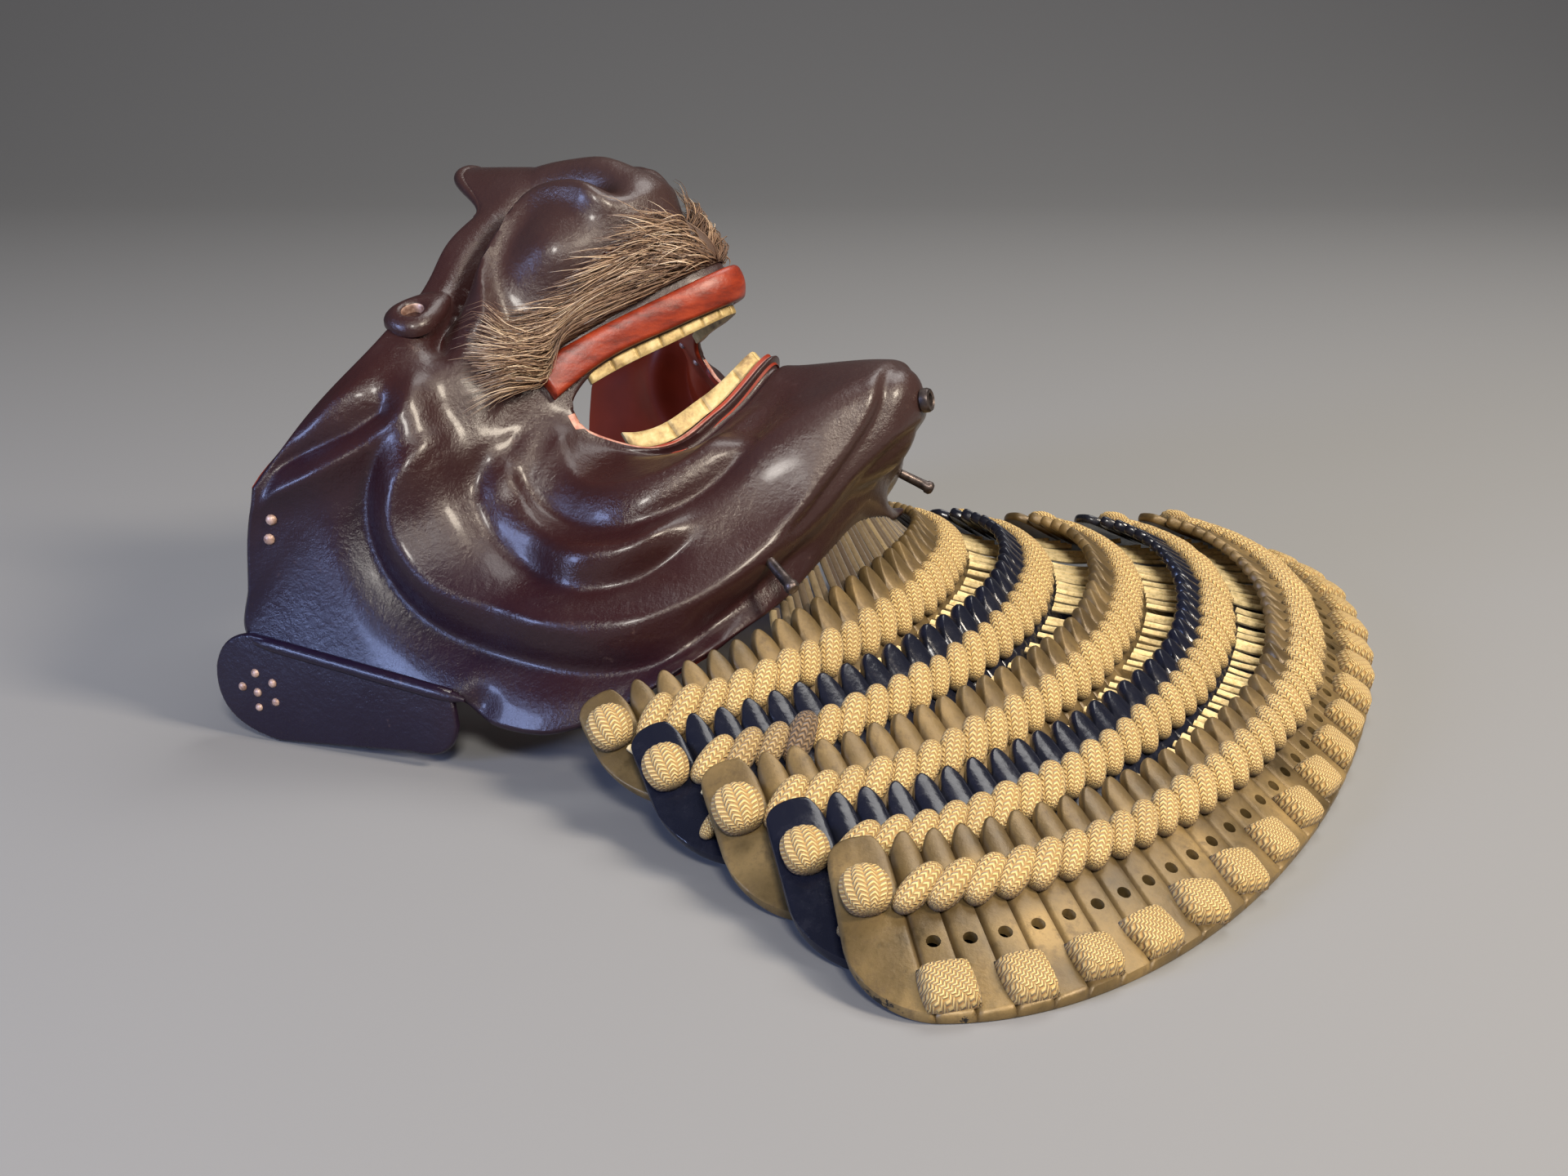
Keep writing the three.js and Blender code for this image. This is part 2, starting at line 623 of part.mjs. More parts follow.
// The lug at each end of the moustache, a drop-shaped plate with a hole for a cord.
function eyelet(side) {
  const long = eyeletLength / 2;
  const wide = eyeletWidth / 2;
  const outline = new THREE.Shape();
  outline.moveTo(-long, 0);
  outline.quadraticCurveTo(-long, wide, 0, wide);
  outline.quadraticCurveTo(long * 0.5, wide, long * 1.1, 0);
  outline.quadraticCurveTo(long * 0.5, -wide, 0, -wide);
  outline.quadraticCurveTo(-long, -wide, -long, 0);
  outline.holes.push(new THREE.Path().absellipse(-1, 0, eyeletBore * 1.2, eyeletBore, 0, 2 * Math.PI));
  const plate = new THREE.ExtrudeGeometry(outline, {
    depth: eyeletThickness,
    bevelEnabled: false,
    curveSegments: 4,
  });
  const share = side * eyeletAt.share;
  const place = eyeletAt.place;
  const out = skinNormal(share, place);
  const toNose = hammered(share * 0.8, place + 0.2).sub(hammered(share, place));
  toNose.addScaledVector(out, -toNose.dot(out)).normalize();
  const over = out.clone().cross(toNose);
  const turn = new THREE.Matrix4().makeBasis(toNose, over, out);
  plate.applyMatrix4(turn);
  const seat = skinOffset(share, place, eyeletAt.seat);
  return plate.translate(seat.x, seat.y, seat.z);
}

// A lame's middle surface at an angle round the throat (-1 to 1) and a height share, 0 at its foot.
function lameSurface(lame) {
  const curve = (half, rear, front, rearUp, frontUp, roundness) => (turn) => {
    const angle = (turn * Math.PI) / 2;
    const x = Math.sign(angle) * Math.abs(Math.sin(angle)) ** (2 / roundness) * half * guardHalfWidth;
    const toFront = Math.abs(Math.cos(angle)) ** (2 / roundness);
    return vector(
      x,
      (rear + (front - rear) * toFront) * guardLength,
      (rearUp + (frontUp - rearUp) * toFront) * lameRise,
    );
  };
  const top = curve(lame.half, lame.rear, lame.front, lame.rearUp, lame.frontUp, upperRoundness);
  const foot = curve(
    lame.footHalf, lame.footRear, lame.footFront, lame.footUp, lame.footUp, lowerRoundness,
  );
  // Both edges are walked by their length, so that the scales stand square.
  const walk = (edge) => {
    const turns = span(-1, 1, 240);
    const lengths = [0];
    for (let i = 1; i < turns.length; i++) {
      lengths.push(lengths[i - 1] + edge(turns[i]).distanceTo(edge(turns[i - 1])));
    }
    const total = lengths[lengths.length - 1];
    const at = (share) => {
      const wanted = clamp(share, 0, 1) * total;
      let i = 1;
      while (i < lengths.length - 1 && lengths[i] < wanted) i++;
      const t = (wanted - lengths[i - 1]) / (lengths[i] - lengths[i - 1]);
      return edge(turns[i - 1] + (turns[i] - turns[i - 1]) * t);
    };
    return { at, total };
  };
  const topWalk = walk(top);
  const footWalk = walk(foot);
  const at = (share, height) => footWalk.at(share).lerp(topWalk.at(share), height);
  const slant = (share) => at(share, 0).distanceTo(at(share, 1));
  return { at, slant, length: topWalk.total, footLength: footWalk.total };
}

function lameNormal(surface, share, height) {
  const s = clamp(share, 0.012, 0.988);
  const alongArc = surface.at(s + 0.01, height).sub(surface.at(s - 0.01, height));
  const upward = surface.at(s, 1).sub(surface.at(s, 0));
  return alongArc.cross(upward).normalize();
}

function lameOffset(surface, share, height, offset) {
  return surface.at(share, height).addScaledVector(lameNormal(surface, share, height), offset);
}

const lameSurfaces = lames.map(lameSurface);
const scaleCounts = lameSurfaces.map((surface) => Math.round(surface.length / scalePitch));

// The share along a lame where a scale's edge stands. Scales crowd together towards the ends.
function scaleShare(scale, count) {
  const even = scale / count;
  return even - (endCrowding * Math.sin(2 * Math.PI * even)) / (2 * Math.PI);
}

// The foot of a lame rises in a round corner at each end.
function footAt(surface, share) {
  const fromEnd = Math.min(share, 1 - share) * surface.length * 1.1;
  if (fromEnd >= endCorner) return 0;
  const rise = endCorner - Math.sqrt(endCorner ** 2 - (endCorner - fromEnd) ** 2);
  return rise / surface.slant(share);
}

function lamePlate(index) {
  const surface = lameSurfaces[index];
  const count = scaleCounts[index];
  const rings = span(0, count, count * 2).map((scale, step) => {
    const share = scaleShare(scale, count);
    const tip = step % 2 === 1;
    const slant = surface.slant(share);
    const top = tip ? 1 : 1 - headHeight / slant;
    const foot = footAt(surface, share);
    const half = lameThickness / 2;
    return [
      lameOffset(surface, share, foot, half),
      lameOffset(surface, share, top, half),
      lameOffset(surface, share, top, -half),
      lameOffset(surface, share, foot, -half),
    ];
  });
  return tubeOf(rings);
}

// The braided row across a lame below the heads: one slanting lump to each scale.
const lacingPlace = 0.66;

function lacingRow(index) {
  const surface = lameSurfaces[index];
  const count = scaleCounts[index];
  const sides = 4;
  const rings = [];
  for (let step = 1; step <= count * 2 - 1; step++) {
    const share = scaleShare(step / 2, count);
    const full = step % 2 === 1;
    const swell = full ? 1 : 0.66;
    const halfHeight = (lacingHeight / 2) * (full ? 1 : 0.8);
    const middle = lameThickness / 2 + clearance + lacingThickness / 2;
    const slant = surface.slant(share);
    const ring = [];
    for (let k = 0; k < sides; k++) {
      const angle = (k / sides) * 2 * Math.PI;
      const rise = Math.cos(angle) * halfHeight;
      const out = Math.sin(angle) * (lacingThickness / 2) * swell;
      const lean = (rise / slant) * (scalePitch / surface.length) * 2.2;
      ring.push(lameOffset(surface, share + lean, lacingPlace + rise / slant, middle + out));
    }
    rings.push(ring);
  }
  return tubeOf(rings);
}

// The layer of laces from one lame's outer face to the inner face of the next one below.
function laceLayer(index) {
  const upper = lameSurfaces[index];
  const lower = lameSurfaces[index + 1];
  const from = lameThickness / 2 + clearance;
  const rings = span(0.05, 0.95, 16).map((share) => {
    const start = (drop) => lameOffset(upper, share, 0.4 - drop / upper.slant(share), from + 0.3);
    const end = (drop) => lameOffset(lower, share, 0.66 - drop / lower.slant(share), -from - 0.3);
    return [start(0), end(0), end(laceThickness), start(laceThickness)];
  });
  return tubeOf(rings);
}

// The laces that hang the top lame from the mask's lower edge, in the mask's own frame.
function jawLacing(toMask) {
  const surface = lameSurfaces[0];
  const inside = -lameThickness / 2 - clearance - 1.3;
  const rings = span(0.23, 0.77, 14).map((share) => {
    const hang = (drop) =>
      lameOffset(surface, share, 0.66 - drop / surface.slant(share), inside).applyMatrix4(toMask);
    const across = (1 - 2 * share) * -1;
    const edge = (back) => {
      const rim = skinOffset(across, bottomEdge, -wall / 2);
      return rim.add(vector(0, back, -clearance - 0.9));
    };
    return [edge(0), hang(0), hang(laceThickness), edge(laceThickness)];
  });
  return tubeOf(rings);
}

// Crossed knots along the foot of the lowest lame, at even steps of its scales.
function footKnot(index) {
  const surface = lameSurfaces[lameCount - 1];
  const count = scaleCounts[lameCount - 1];
  const step = (count - 2 * knotInset) / (knotCount - 1);
  const share = scaleShare(knotInset + index * step, count);
  const slant = surface.slant(share);
  const from = lameThickness / 2 + clearance;
  const ring = (offset, inset) => {
    const half = (knotWidth / 2 - inset) / surface.footLength;
    const low = (knotRise + inset) / slant;
    const high = (knotRise + knotHeight - inset) / slant;
    return [[-half, high], [half, high], [half, low], [-half, low]].map(([aside, height]) =>
      lameOffset(surface, share + aside, height, offset),
    );
  };
  return tubeOf([ring(from, 0), ring(from + knotThickness, knotThickness * 0.6)]);
}

// The assembly
const part = new THREE.Group();
const mask = new THREE.Group();
mask.rotation.x = THREE.MathUtils.degToRad(-leanBack);
const lowerEdge = skin(0, bottomEdge).applyEuler(mask.rotation);
const topLameEdge = lameSurfaces[0].at(0.5, 1);
mask.position.set(0, topLameEdge.y + jawBehindTopLame, topLameEdge.z + jawAboveTopLame).sub(lowerEdge);
mask.updateMatrix();
mask.add(
  piece("mask_shell", maskShell(), "lacquer"),
  piece("upper_lip", upperLipBand(), "redLacquer"),
  piece("upper_teeth", teeth(upperTeeth), "gold"),
  piece("lower_teeth", teeth(lowerTeeth), "gold"),
  piece("moustache", moustache(), "hair"),
  piece("chin_drain_tube", drainTube(), "iron"),
  piece("jaw_lacing", jawLacing(mask.matrix.clone().invert()), "lacing"),
);
for (const [side, word] of [[-1, "right"], [1, "left"]]) {
  mask.add(piece(`chin_peg_${word}`, peg(side), "iron"));
  mask.add(piece(`cord_eyelet_${word}`, eyelet(side), "lacquer"));
}
part.add(mask);

lames.forEach((lame, index) => {
  const finish = index % 2 === 0 ? "agedGold" : "blackLacquer";
  part.add(piece(lame.name, lamePlate(index), finish));
  part.add(piece(`${lame.name}_lacing`, lacingRow(index), "lacing"));
  if (index < lameCount - 1) part.add(piece(`laces_below_${lame.name}`, laceLayer(index), "lacing"));
});
for (let knot = 1; knot <= knotCount; knot++) {
  part.add(piece(`foot_knot_${knot}`, footKnot(knot - 1), "lacing"));
}

// The origin is under the middle of the whole guard, on the surface that it lies on.
part.updateMatrixWorld(true);
const box = new THREE.Box3().setFromObject(part, true);
part.position.set(0, -(box.min.y + box.max.y) / 2, -box.min.z);

export default part;
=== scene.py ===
"""A samurai face guard: a lacquered iron half mask with a hair moustache and a fanned throat guard
of five laced lames. Each piece takes the place of the solids that finish_piece names for it."""

import math

import bpy
import bmesh
import numpy as np
from bpy.props import (
    FloatProperty,
    FloatVectorProperty,
    IntProperty,
    PointerProperty,
)
from mathutils import Matrix, Vector


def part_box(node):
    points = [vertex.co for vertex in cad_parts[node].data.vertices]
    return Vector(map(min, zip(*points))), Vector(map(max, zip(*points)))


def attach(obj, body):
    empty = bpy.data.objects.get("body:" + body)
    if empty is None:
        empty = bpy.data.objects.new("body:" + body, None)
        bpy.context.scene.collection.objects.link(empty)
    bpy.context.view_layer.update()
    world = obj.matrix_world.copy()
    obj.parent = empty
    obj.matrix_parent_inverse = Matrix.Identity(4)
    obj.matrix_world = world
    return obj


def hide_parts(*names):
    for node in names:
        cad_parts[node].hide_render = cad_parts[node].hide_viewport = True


bl_info = {
    "name": "Samurai face guard",
    "version": (1, 0, 0),
    "blender": (4, 5, 0),
    "location": "3D View > Sidebar > Face guard",
    "description": "Half mask of lacquered iron with a laced throat guard",
    "category": "Add Mesh",
}

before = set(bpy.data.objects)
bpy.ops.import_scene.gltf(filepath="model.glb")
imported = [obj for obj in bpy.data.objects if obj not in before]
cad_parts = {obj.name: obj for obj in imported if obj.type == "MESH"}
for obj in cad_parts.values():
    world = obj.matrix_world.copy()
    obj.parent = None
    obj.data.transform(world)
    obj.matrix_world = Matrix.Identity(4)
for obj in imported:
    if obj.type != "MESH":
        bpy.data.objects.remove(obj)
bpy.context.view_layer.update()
MM = 0.001

# Places across the mask as shares of its half width, and its sections from the top edge down.
# Each section has a share of the half width, then (forward, up) in hundredths of depth and height.
ACROSS = {"middle": 0, "nose": 0.18, "wing": 0.34, "corner": 0.43, "cheek": 0.7, "rear": 0.92, "edge": 1}
SECTIONS = [
    # name, width, middle, nose, wing, corner, cheek, rear, edge
    ("top edge", 1,
     (-20, 113), (-24, 111), (-31, 109), (-36, 105.5), (-43, 99.5), (-66, 98.5), (-77, 96.5)),
    ("bridge", 1, (-13.5, 110.5), (-17, 103), (-25, 98), (-30, 96), (-42, 93), (-66, 93), (-88, 92.5)),
    ("dorsum", 1, (-1, 99), (-8, 95), (-22, 91), (-29, 89.5), (-42, 87.5), (-67, 87), (-98, 87)),
    ("ball of the nose", 1, (2, 88), (-4, 86.5), (-22, 84), (-30, 82.5), (-43, 81), (-69, 80), (-107, 82)),
    ("tip", 1, (-1, 77), (-8, 76.5), (-24, 76), (-31, 75.5), (-46, 74), (-70, 71), (-100.5, 70)),
    ("top of the upper lip", 1, (-4, 60), (-12, 64), (-25, 70), (-33, 73), (-49, 67), (-71, 62), (-94, 58)),
    ("upper lip", 1, (-9, 54), (-16.5, 58), (-28, 63.5), (-35.5, 65), (-50, 61), (-71, 54), (-88, 47)),
    ("lower lip", 1, (-13.5, 41), (-25, 40.5), (-36, 45), (-40, 55), (-52, 54), (-71, 47), (-85, 41)),
    ("foot of the lower lip", 1,
     (-11, 35), (-20, 34), (-32, 37), (-38, 45), (-51, 45), (-70, 39), (-82.5, 36)),
    ("top of the chin", 1, (4.6, 17), (-1, 19), (-14, 24), (-23, 28), (-42, 33), (-66, 31), (-82, 27)),
    ("chin", 1, (2, 6), (-4, 9), (-14, 13), (-22, 17), (-40, 21), (-62, 20), (-76, 17.5)),
    ("under the chin", 0.97, (-11, 1.5), (-15, 3), (-22, 4.5), (-27, 6), (-41, 10), (-57, 12), (-70, 12)),
    ("lower edge", 0.93, (-31, 2), (-32.5, 1), (-35.5, 0), (-38, -0.5), (-44, 1), (-52.5, 4.5), (-66, 8.7)),
]
UPPER_LIP = 6
LOWER_LIP = 7
BOTTOM = len(SECTIONS) - 1

# Hammered folds: width, ridge and groove in millimetres, and a path in the side view. The groove
# runs along the left-hand side of the path as it is walked.
FOLDS = [
    ("great fold round the cheek", 5, 2.8, 2.6,
     [(-4, 16), (-28, 9), (-48, 15), (-63, 35), (-70, 56), (-66, 69), (-56, 75), (-44, 75)]),
    ("fold under the mouth", 3.2, 2, 2,
     [(-12, 32), (-28, 32), (-39, 39), (-45, 48), (-44, 57), (-39, 65)]),
    ("second fold under the mouth", 3.4, 2.2, 2,
     [(-30, 25), (-42, 28), (-50, 37), (-53, 48), (-50, 58), (-44, 66)]),
    ("fold of the cheekbone", 3.6, 2, 2.2,
     [(-84, 99), (-68, 89), (-57, 84), (-48, 83), (-43, 91)]),
    ("ring round the wing of the nose", 2.6, 3.2, 4.0,
     [(-36, 82), (-32, 90), (-26, 97), (-15, 100), (-6, 93), (-4, 82)]),
    ("upper crease of the chin", 1.5, 0.5, 0.9,
     [(4, 19), (0, 13.5), (-10, 10.4), (-20, 9.8), (-30, 10.5)]),
    ("lower crease of the chin", 1.5, 0.5, 0.8,
     [(1, 5), (-7, 5.6), (-15, 5.2), (-24, 3), (-32, 1)]),
]
SWELLINGS = [
    ("wing of the nose", (-17, 88), 8, 4.8),
    ("ball of the nose", (1, 84), 8, 1.6),
    ("cheekbone", (-60, 98), 13, 2.2),
    ("corner of the jaw", (-52, 30), 16, 1.6),
    ("dent before the flange", (-81, 31.5), 3.4, -1.8),
]
GROOVE_DISTANCE = 1.6
# A crisp crest and crease on each fold, as shares of its ridge and its groove, and of its width.
CREST = 0.22
CREST_WIDTH = 0.34
CREASE = 0.42
CREASE_WIDTH = 0.42
CREASE_BESIDE = 0.2
# A fold fades in over a sixth of its length at each end, and over these sections at the mask's edges.
FOLD_FADE = 6
TOP_FADE = 0.8
BOTTOM_FADE = 0.6
# The rolled lower lip, by section number: a ridge and the groove under it, in millimetres.
LIP_ROLL = ((7.22, 0.16, 1.9), (7.62, 0.16, -1.0))
LIP_ROLL_HALF = 0.3
LIP_ROLL_FADE = 0.12
# How far the tab over the nose leans back, in millimetres.
TAB_LEAN = 4.5
# Steps along and down the skin over which its slope is read: the smooth skin and the folded one.
SKIN_STEP = 0.004
FOLD_STEP = 0.02

# Lames from the top one down, as shares of the guard's half width, length and rise.
LAMES = [
    # name, half, rear, front, rear up, front up, foot half, foot rear, foot front, foot up
    ("top_lame", 0.58, 1.02, 0.748, 1.17, 1.84, 0.68, 0.9, 0.6, 0.4),
    ("second_lame", 0.632, 0.91, 0.59, 1.11, 1.63, 0.765, 0.77, 0.44, 0.15),
    ("middle_lame", 0.697, 0.77, 0.434, 1.06, 1.42, 0.86, 0.63, 0.285, 0.05),
    ("fourth_lame", 0.765, 0.645, 0.284, 1.01, 1.2, 0.955, 0.505, 0.125, 0.05),
    ("lowest_lame", 0.834, 0.53, 0.137, 1, 1, 1.035, 0.41, -0.025, 0.05),
]
# How square the bow of an upper edge and of a foot is, and how the scales crowd towards the ends.
UPPER_ROUNDNESS = 1.8
LOWER_ROUNDNESS = 2.2
END_CROWDING = 0.15
LAME_STEP = 0.01
# Where the jaw sits over the top lame and the knots over the foot, in millimetres and scales.
JAW_BEHIND_TOP_LAME = 6.94
JAW_ABOVE_TOP_LAME = 8.39
KNOT_INSET = 2.5
KNOT_RISE = 1.6


# Settings shown in the sidebar
class FaceGuardMaskSizes(bpy.types.PropertyGroup):
    half_width: FloatProperty(name="Half width", description="Middle to the rear edge of a cheek",
                              default=0.078, min=0.02, unit="LENGTH")
    height: FloatProperty(name="Height", description="Jaw to the upper edge of the cheeks",
                          default=0.1, min=0.02, unit="LENGTH")
    depth: FloatProperty(name="Depth", description="Nose back to the rear edge of a cheek",
                         default=0.1, min=0.02, unit="LENGTH")
    wall: FloatProperty(name="Wall", description="Iron and lacquer",
                        default=0.002, min=0.0005, unit="LENGTH")
    lean: FloatProperty(name="Lean", description="How far the mask leans back from upright",
                        default=math.radians(55), subtype="ANGLE")
    tab_rise: FloatProperty(name="Tab rise", description="Flared tab over the nose",
                            default=0.012, unit="LENGTH")
    tab_half_width: FloatProperty(name="Tab half width", description="Half width of the flared tab",
                                  default=0.011, unit="LENGTH")
    lip: FloatProperty(name="Lip thickness", description="Lacquered band over the mouth",
                       default=0.0032, unit="LENGTH")
    hairs: IntProperty(name="Hairs", description="Hairs of the moustache", default=4200, min=10)
    hair_radius: FloatProperty(name="Hair radius", description="Radius of a bristle at its root",
                               default=0.00016, unit="LENGTH")


class FaceGuardLameSizes(bpy.types.PropertyGroup):
    half_width: FloatProperty(name="Half width", description="Half the width across the lowest lame",
                              default=0.136, unit="LENGTH")
    length: FloatProperty(name="Length", description="Front foot back to the rear end of the top lame",
                          default=0.137, unit="LENGTH")
    rise: FloatProperty(name="Rise", description="Height of the lowest lame's upper edge",
                        default=0.0165, unit="LENGTH")
    thickness: FloatProperty(name="Thickness", description="Thickness of a lame",
                             default=0.002, unit="LENGTH")
    pitch: FloatProperty(name="Scale pitch", description="Width of one scale that shows",
                         default=0.0062, unit="LENGTH")
    head: FloatProperty(name="Head height", description="Pointed head of a scale above the notch",
                        default=0.005, unit="LENGTH")
    corner: FloatProperty(name="End corner", description="Rounding of a lame's lower corner",
                          default=0.012, unit="LENGTH")
    cord: FloatProperty(name="Cord width", description="Width of a lace between two lames",
                        default=0.0018, unit="LENGTH")


class FaceGuardColours(bpy.types.PropertyGroup):
    lacquer: FloatVectorProperty(name="Lacquer", description="Russet-black lacquer of the mask",
                                 subtype="COLOR", size=3, default=(0.024, 0.0095, 0.013), min=0, max=1)
    red: FloatVectorProperty(name="Red", description="Vermilion of the lips",
                             subtype="COLOR", size=3, default=(0.34, 0.032, 0.007), min=0, max=1)
    gold: FloatVectorProperty(name="Gold", description="Worn gold of the lames",
                              subtype="COLOR", size=3, default=(0.25, 0.165, 0.062), min=0, max=1)
    black: FloatVectorProperty(name="Black", description="Black lames",
                               subtype="COLOR", size=3, default=(0.008, 0.009, 0.017), min=0, max=1)
    lacing: FloatVectorProperty(name="Lacing", description="Silk laces",
                                subtype="COLOR", size=3, default=(0.82, 0.60, 0.235), min=0, max=1)


class FaceGuardStage(bpy.types.PropertyGroup):
    floor: FloatProperty(name="Floor width", description="Side of the floor", default=6, unit="LENGTH")
    power: FloatProperty(name="Light", description="Strength of the soft lights", default=1, min=0)


# Curves and surfaces
def clamp(x, low, high):
    return np.minimum(high, np.maximum(low, x))


def smooth(x):
    return x * x * (3 - 2 * x)


def hermite(places, values, x):
    """A smooth curve through values at uneven places, along the last axis of values."""
    places = np.asarray(places, float)
    values = np.asarray(values, float)
    gaps = np.diff(places)
    slope = np.diff(values, axis=-1) / gaps
    tangent = np.empty_like(values)
    tangent[..., 0] = slope[..., 0]
    tangent[..., -1] = slope[..., -1]
    tangent[..., 1:-1] = (slope[..., :-1] * gaps[1:] + slope[..., 1:] * gaps[:-1]) / (gaps[:-1] + gaps[1:])
    i = np.clip(np.searchsorted(places, x, side="right") - 1, 0, len(places) - 2)
    h = gaps[i]
    s = (x - places[i]) / h
    at = lambda a, k: np.take_along_axis(a, np.expand_dims(k, -1), -1)[..., 0]
    return (
        (2 * s**3 - 3 * s**2 + 1) * at(values, i)
        + (s**3 - 2 * s**2 + s) * h * at(tangent, i)
        + (3 * s**2 - 2 * s**3) * at(values, i + 1)
        + (s**3 - s**2) * h * at(tangent, i + 1)
    )


def unit(v):
    return v / np.maximum(np.linalg.norm(v, axis=-1, keepdims=True), 1e-12)


def catmull(path, count):
    """Points along a smooth centripetal curve through a path."""
    p = np.array([path[0] + (path[0] - path[1])] + list(path) + [path[-1] + (path[-1] - path[-2])])
    points = []
    for i in range(1, len(p) - 2):
        knots = [0]
        for a, b in ((p[i - 1], p[i]), (p[i], p[i + 1]), (p[i + 1], p[i + 2])):
            knots.append(knots[-1] + max(np.linalg.norm(b - a), 1e-6) ** 0.5)
        t = np.linspace(knots[1], knots[2], count, endpoint=False)[:, None]
        mix = lambda a, b, ka, kb: a * (kb - t) / (kb - ka) + b * (t - ka) / (kb - ka)
        a1 = mix(p[i - 1], p[i], knots[0], knots[1])
        a2 = mix(p[i], p[i + 1], knots[1], knots[2])
        a3 = mix(p[i + 1], p[i + 2], knots[2], knots[3])
        b1 = mix(a1, a2, knots[0], knots[2])
        b2 = mix(a2, a3, knots[1], knots[3])
        points.extend(mix(b1, b2, knots[1], knots[2]))
    points.append(p[-2])
    return np.array(points)


class MaskForm:
    """The mask's skin in millimetres, at a share across (-1 to 1) and a section number."""

    def __init__(self, sizes):
        self.half = sizes.half_width / MM
        self.height = sizes.height / MM
        self.depth = sizes.depth / MM
        self.wall = sizes.wall / MM
        self.lip = sizes.lip / MM
        self.tab_rise = sizes.tab_rise / MM
        self.tab_half = sizes.tab_half_width / MM
        self.lean = sizes.lean
        self.places = [-ACROSS["nose"], *ACROSS.values()]
        rows = np.array([[row[3], *row[2:]] for row in SECTIONS], float)
        self.forward = rows[:, :, 0]
        self.up = rows[:, :, 1]
        self.width = np.array([row[1] for row in SECTIONS], float)
        scale = np.array([self.depth, self.height]) / 100
        self.curves = [
            (catmull(np.array(path, float) * scale, 16), width, ridge, groove)
            for _, width, ridge, groove, path in FOLDS
        ]
        self.turn = np.array([[1, 0, 0], [0, math.cos(self.lean), math.sin(self.lean)],
                              [0, -math.sin(self.lean), math.cos(self.lean)]])
        self.shift = np.zeros(3)

    def hang(self, top_lame):
        """Places the mask's lower edge behind and above the upper edge of the top lame."""
        edge = top_lame.at(0.5, 1.0) + np.array([0, JAW_BEHIND_TOP_LAME, JAW_ABOVE_TOP_LAME])
        self.shift = top_lame.shift + edge - self.skin(0.0, float(BOTTOM)) @ self.turn.T

    def skin(self, share, place):
        share, place = np.broadcast_arrays(np.asarray(share, float), np.asarray(place, float))
        shape = share.shape
        share, place = share.ravel(), place.ravel()
        key, back = np.unique(np.abs(share), return_inverse=True)
        columns = []
        for table in (self.forward, self.up):
            spread = np.broadcast_to(table, (len(key), *table.shape))
            columns.append(hermite(self.places, spread, np.repeat(key[:, None], table.shape[0], 1)))
        numbers = np.arange(len(SECTIONS))
        forward = hermite(numbers, columns[0][back], place)
        up = hermite(numbers, columns[1][back], place)
        width = hermite(numbers, np.broadcast_to(self.width, (len(place), len(self.width))), place)
        x = share * self.half * width
        tab = np.exp(-((x / self.tab_half) ** 4)) * clamp(1 - place, 0, 1)
        forward = forward / 100 * self.depth - tab * TAB_LEAN
        up = up / 100 * self.height + tab * self.tab_rise
        return np.stack([x, -forward, up], -1).reshape(*shape, 3)

    def normal(self, surface, share, place, step):
        s = clamp(share, -1 + step, 1 - step)
        p = clamp(place, step, BOTTOM - step)
        along = surface(s + step, p) - surface(s - step, p)
        down = surface(s, p + step) - surface(s, p - step)
        return unit(np.cross(down, along))

    def relief(self, points):
        """Folds and swellings, with a crisp crest and a deeper groove than the plain solid's."""
        forward, up = -points[..., 1].ravel(), points[..., 2].ravel()
        height = np.zeros(len(forward))
        for curve, width, ridge, groove in self.curves:
            reach = width * (GROOVE_DISTANCE + 3)
            near = np.nonzero(
                (forward > curve[:, 0].min() - reach) & (forward < curve[:, 0].max() + reach)
                & (up > curve[:, 1].min() - reach) & (up < curve[:, 1].max() + reach)
            )[0]
            if not len(near):
                continue
            a, d = curve[:-1], np.diff(curve, axis=0)
            px = forward[near, None] - a[None, :, 0]
            py = up[near, None] - a[None, :, 1]
            t = clamp((px * d[:, 0] + py * d[:, 1]) / (d**2).sum(1), 0, 1)
            away = np.hypot(px - t * d[:, 0], py - t * d[:, 1])
            k = away.argmin(1)
            row = np.arange(len(near))
            side = np.sign(d[k, 0] * py[row, k] - d[k, 1] * px[row, k])
            along = (k + t[row, k]) / (len(curve) - 1)
            fade = smooth(clamp(np.minimum(along, 1 - along) * FOLD_FADE, 0, 1))
            offset = away[row, k] * side
            beside = offset - width * GROOVE_DISTANCE
            height[near] += fade * (
                ridge * np.exp(-((offset / width) ** 2)) - groove * np.exp(-((beside / width) ** 2))
                + CREST * ridge * np.exp(-((offset / (CREST_WIDTH * width)) ** 2))
                - CREASE * groove * np.exp(
                    -(((beside + CREASE_BESIDE * width) / (CREASE_WIDTH * width)) ** 2))
            )
        for _, centre, radius, rise in SWELLINGS:
            away = np.hypot(forward - centre[0] / 100 * self.depth, up - centre[1] / 100 * self.height)
            height += rise * np.exp(-((away / radius) ** 2))
        return height.reshape(points.shape[:-1])

    def hammered(self, share, place):
        share, place = np.broadcast_arrays(np.asarray(share, float), np.asarray(place, float))
        point = self.skin(share, place)
        edge = np.minimum(place / TOP_FADE, (BOTTOM - place) / BOTTOM_FADE)
        height = self.relief(point) * smooth(clamp(edge, 0, 1))
        within = 1 - smooth(clamp((np.abs(share) - LIP_ROLL_HALF) / LIP_ROLL_FADE, 0, 1))
        for centre, reach, rise in LIP_ROLL:
            height = height + rise * within * np.exp(-(((place - centre) / reach) ** 2))
        return point + self.normal(self.skin, share, place, SKIN_STEP) * height[..., None]

    def offset(self, share, place, distance):
        distance = np.asarray(distance, float)
        normal = self.normal(self.skin, share, place, SKIN_STEP)
        return self.hammered(share, place) + normal * distance[..., None]

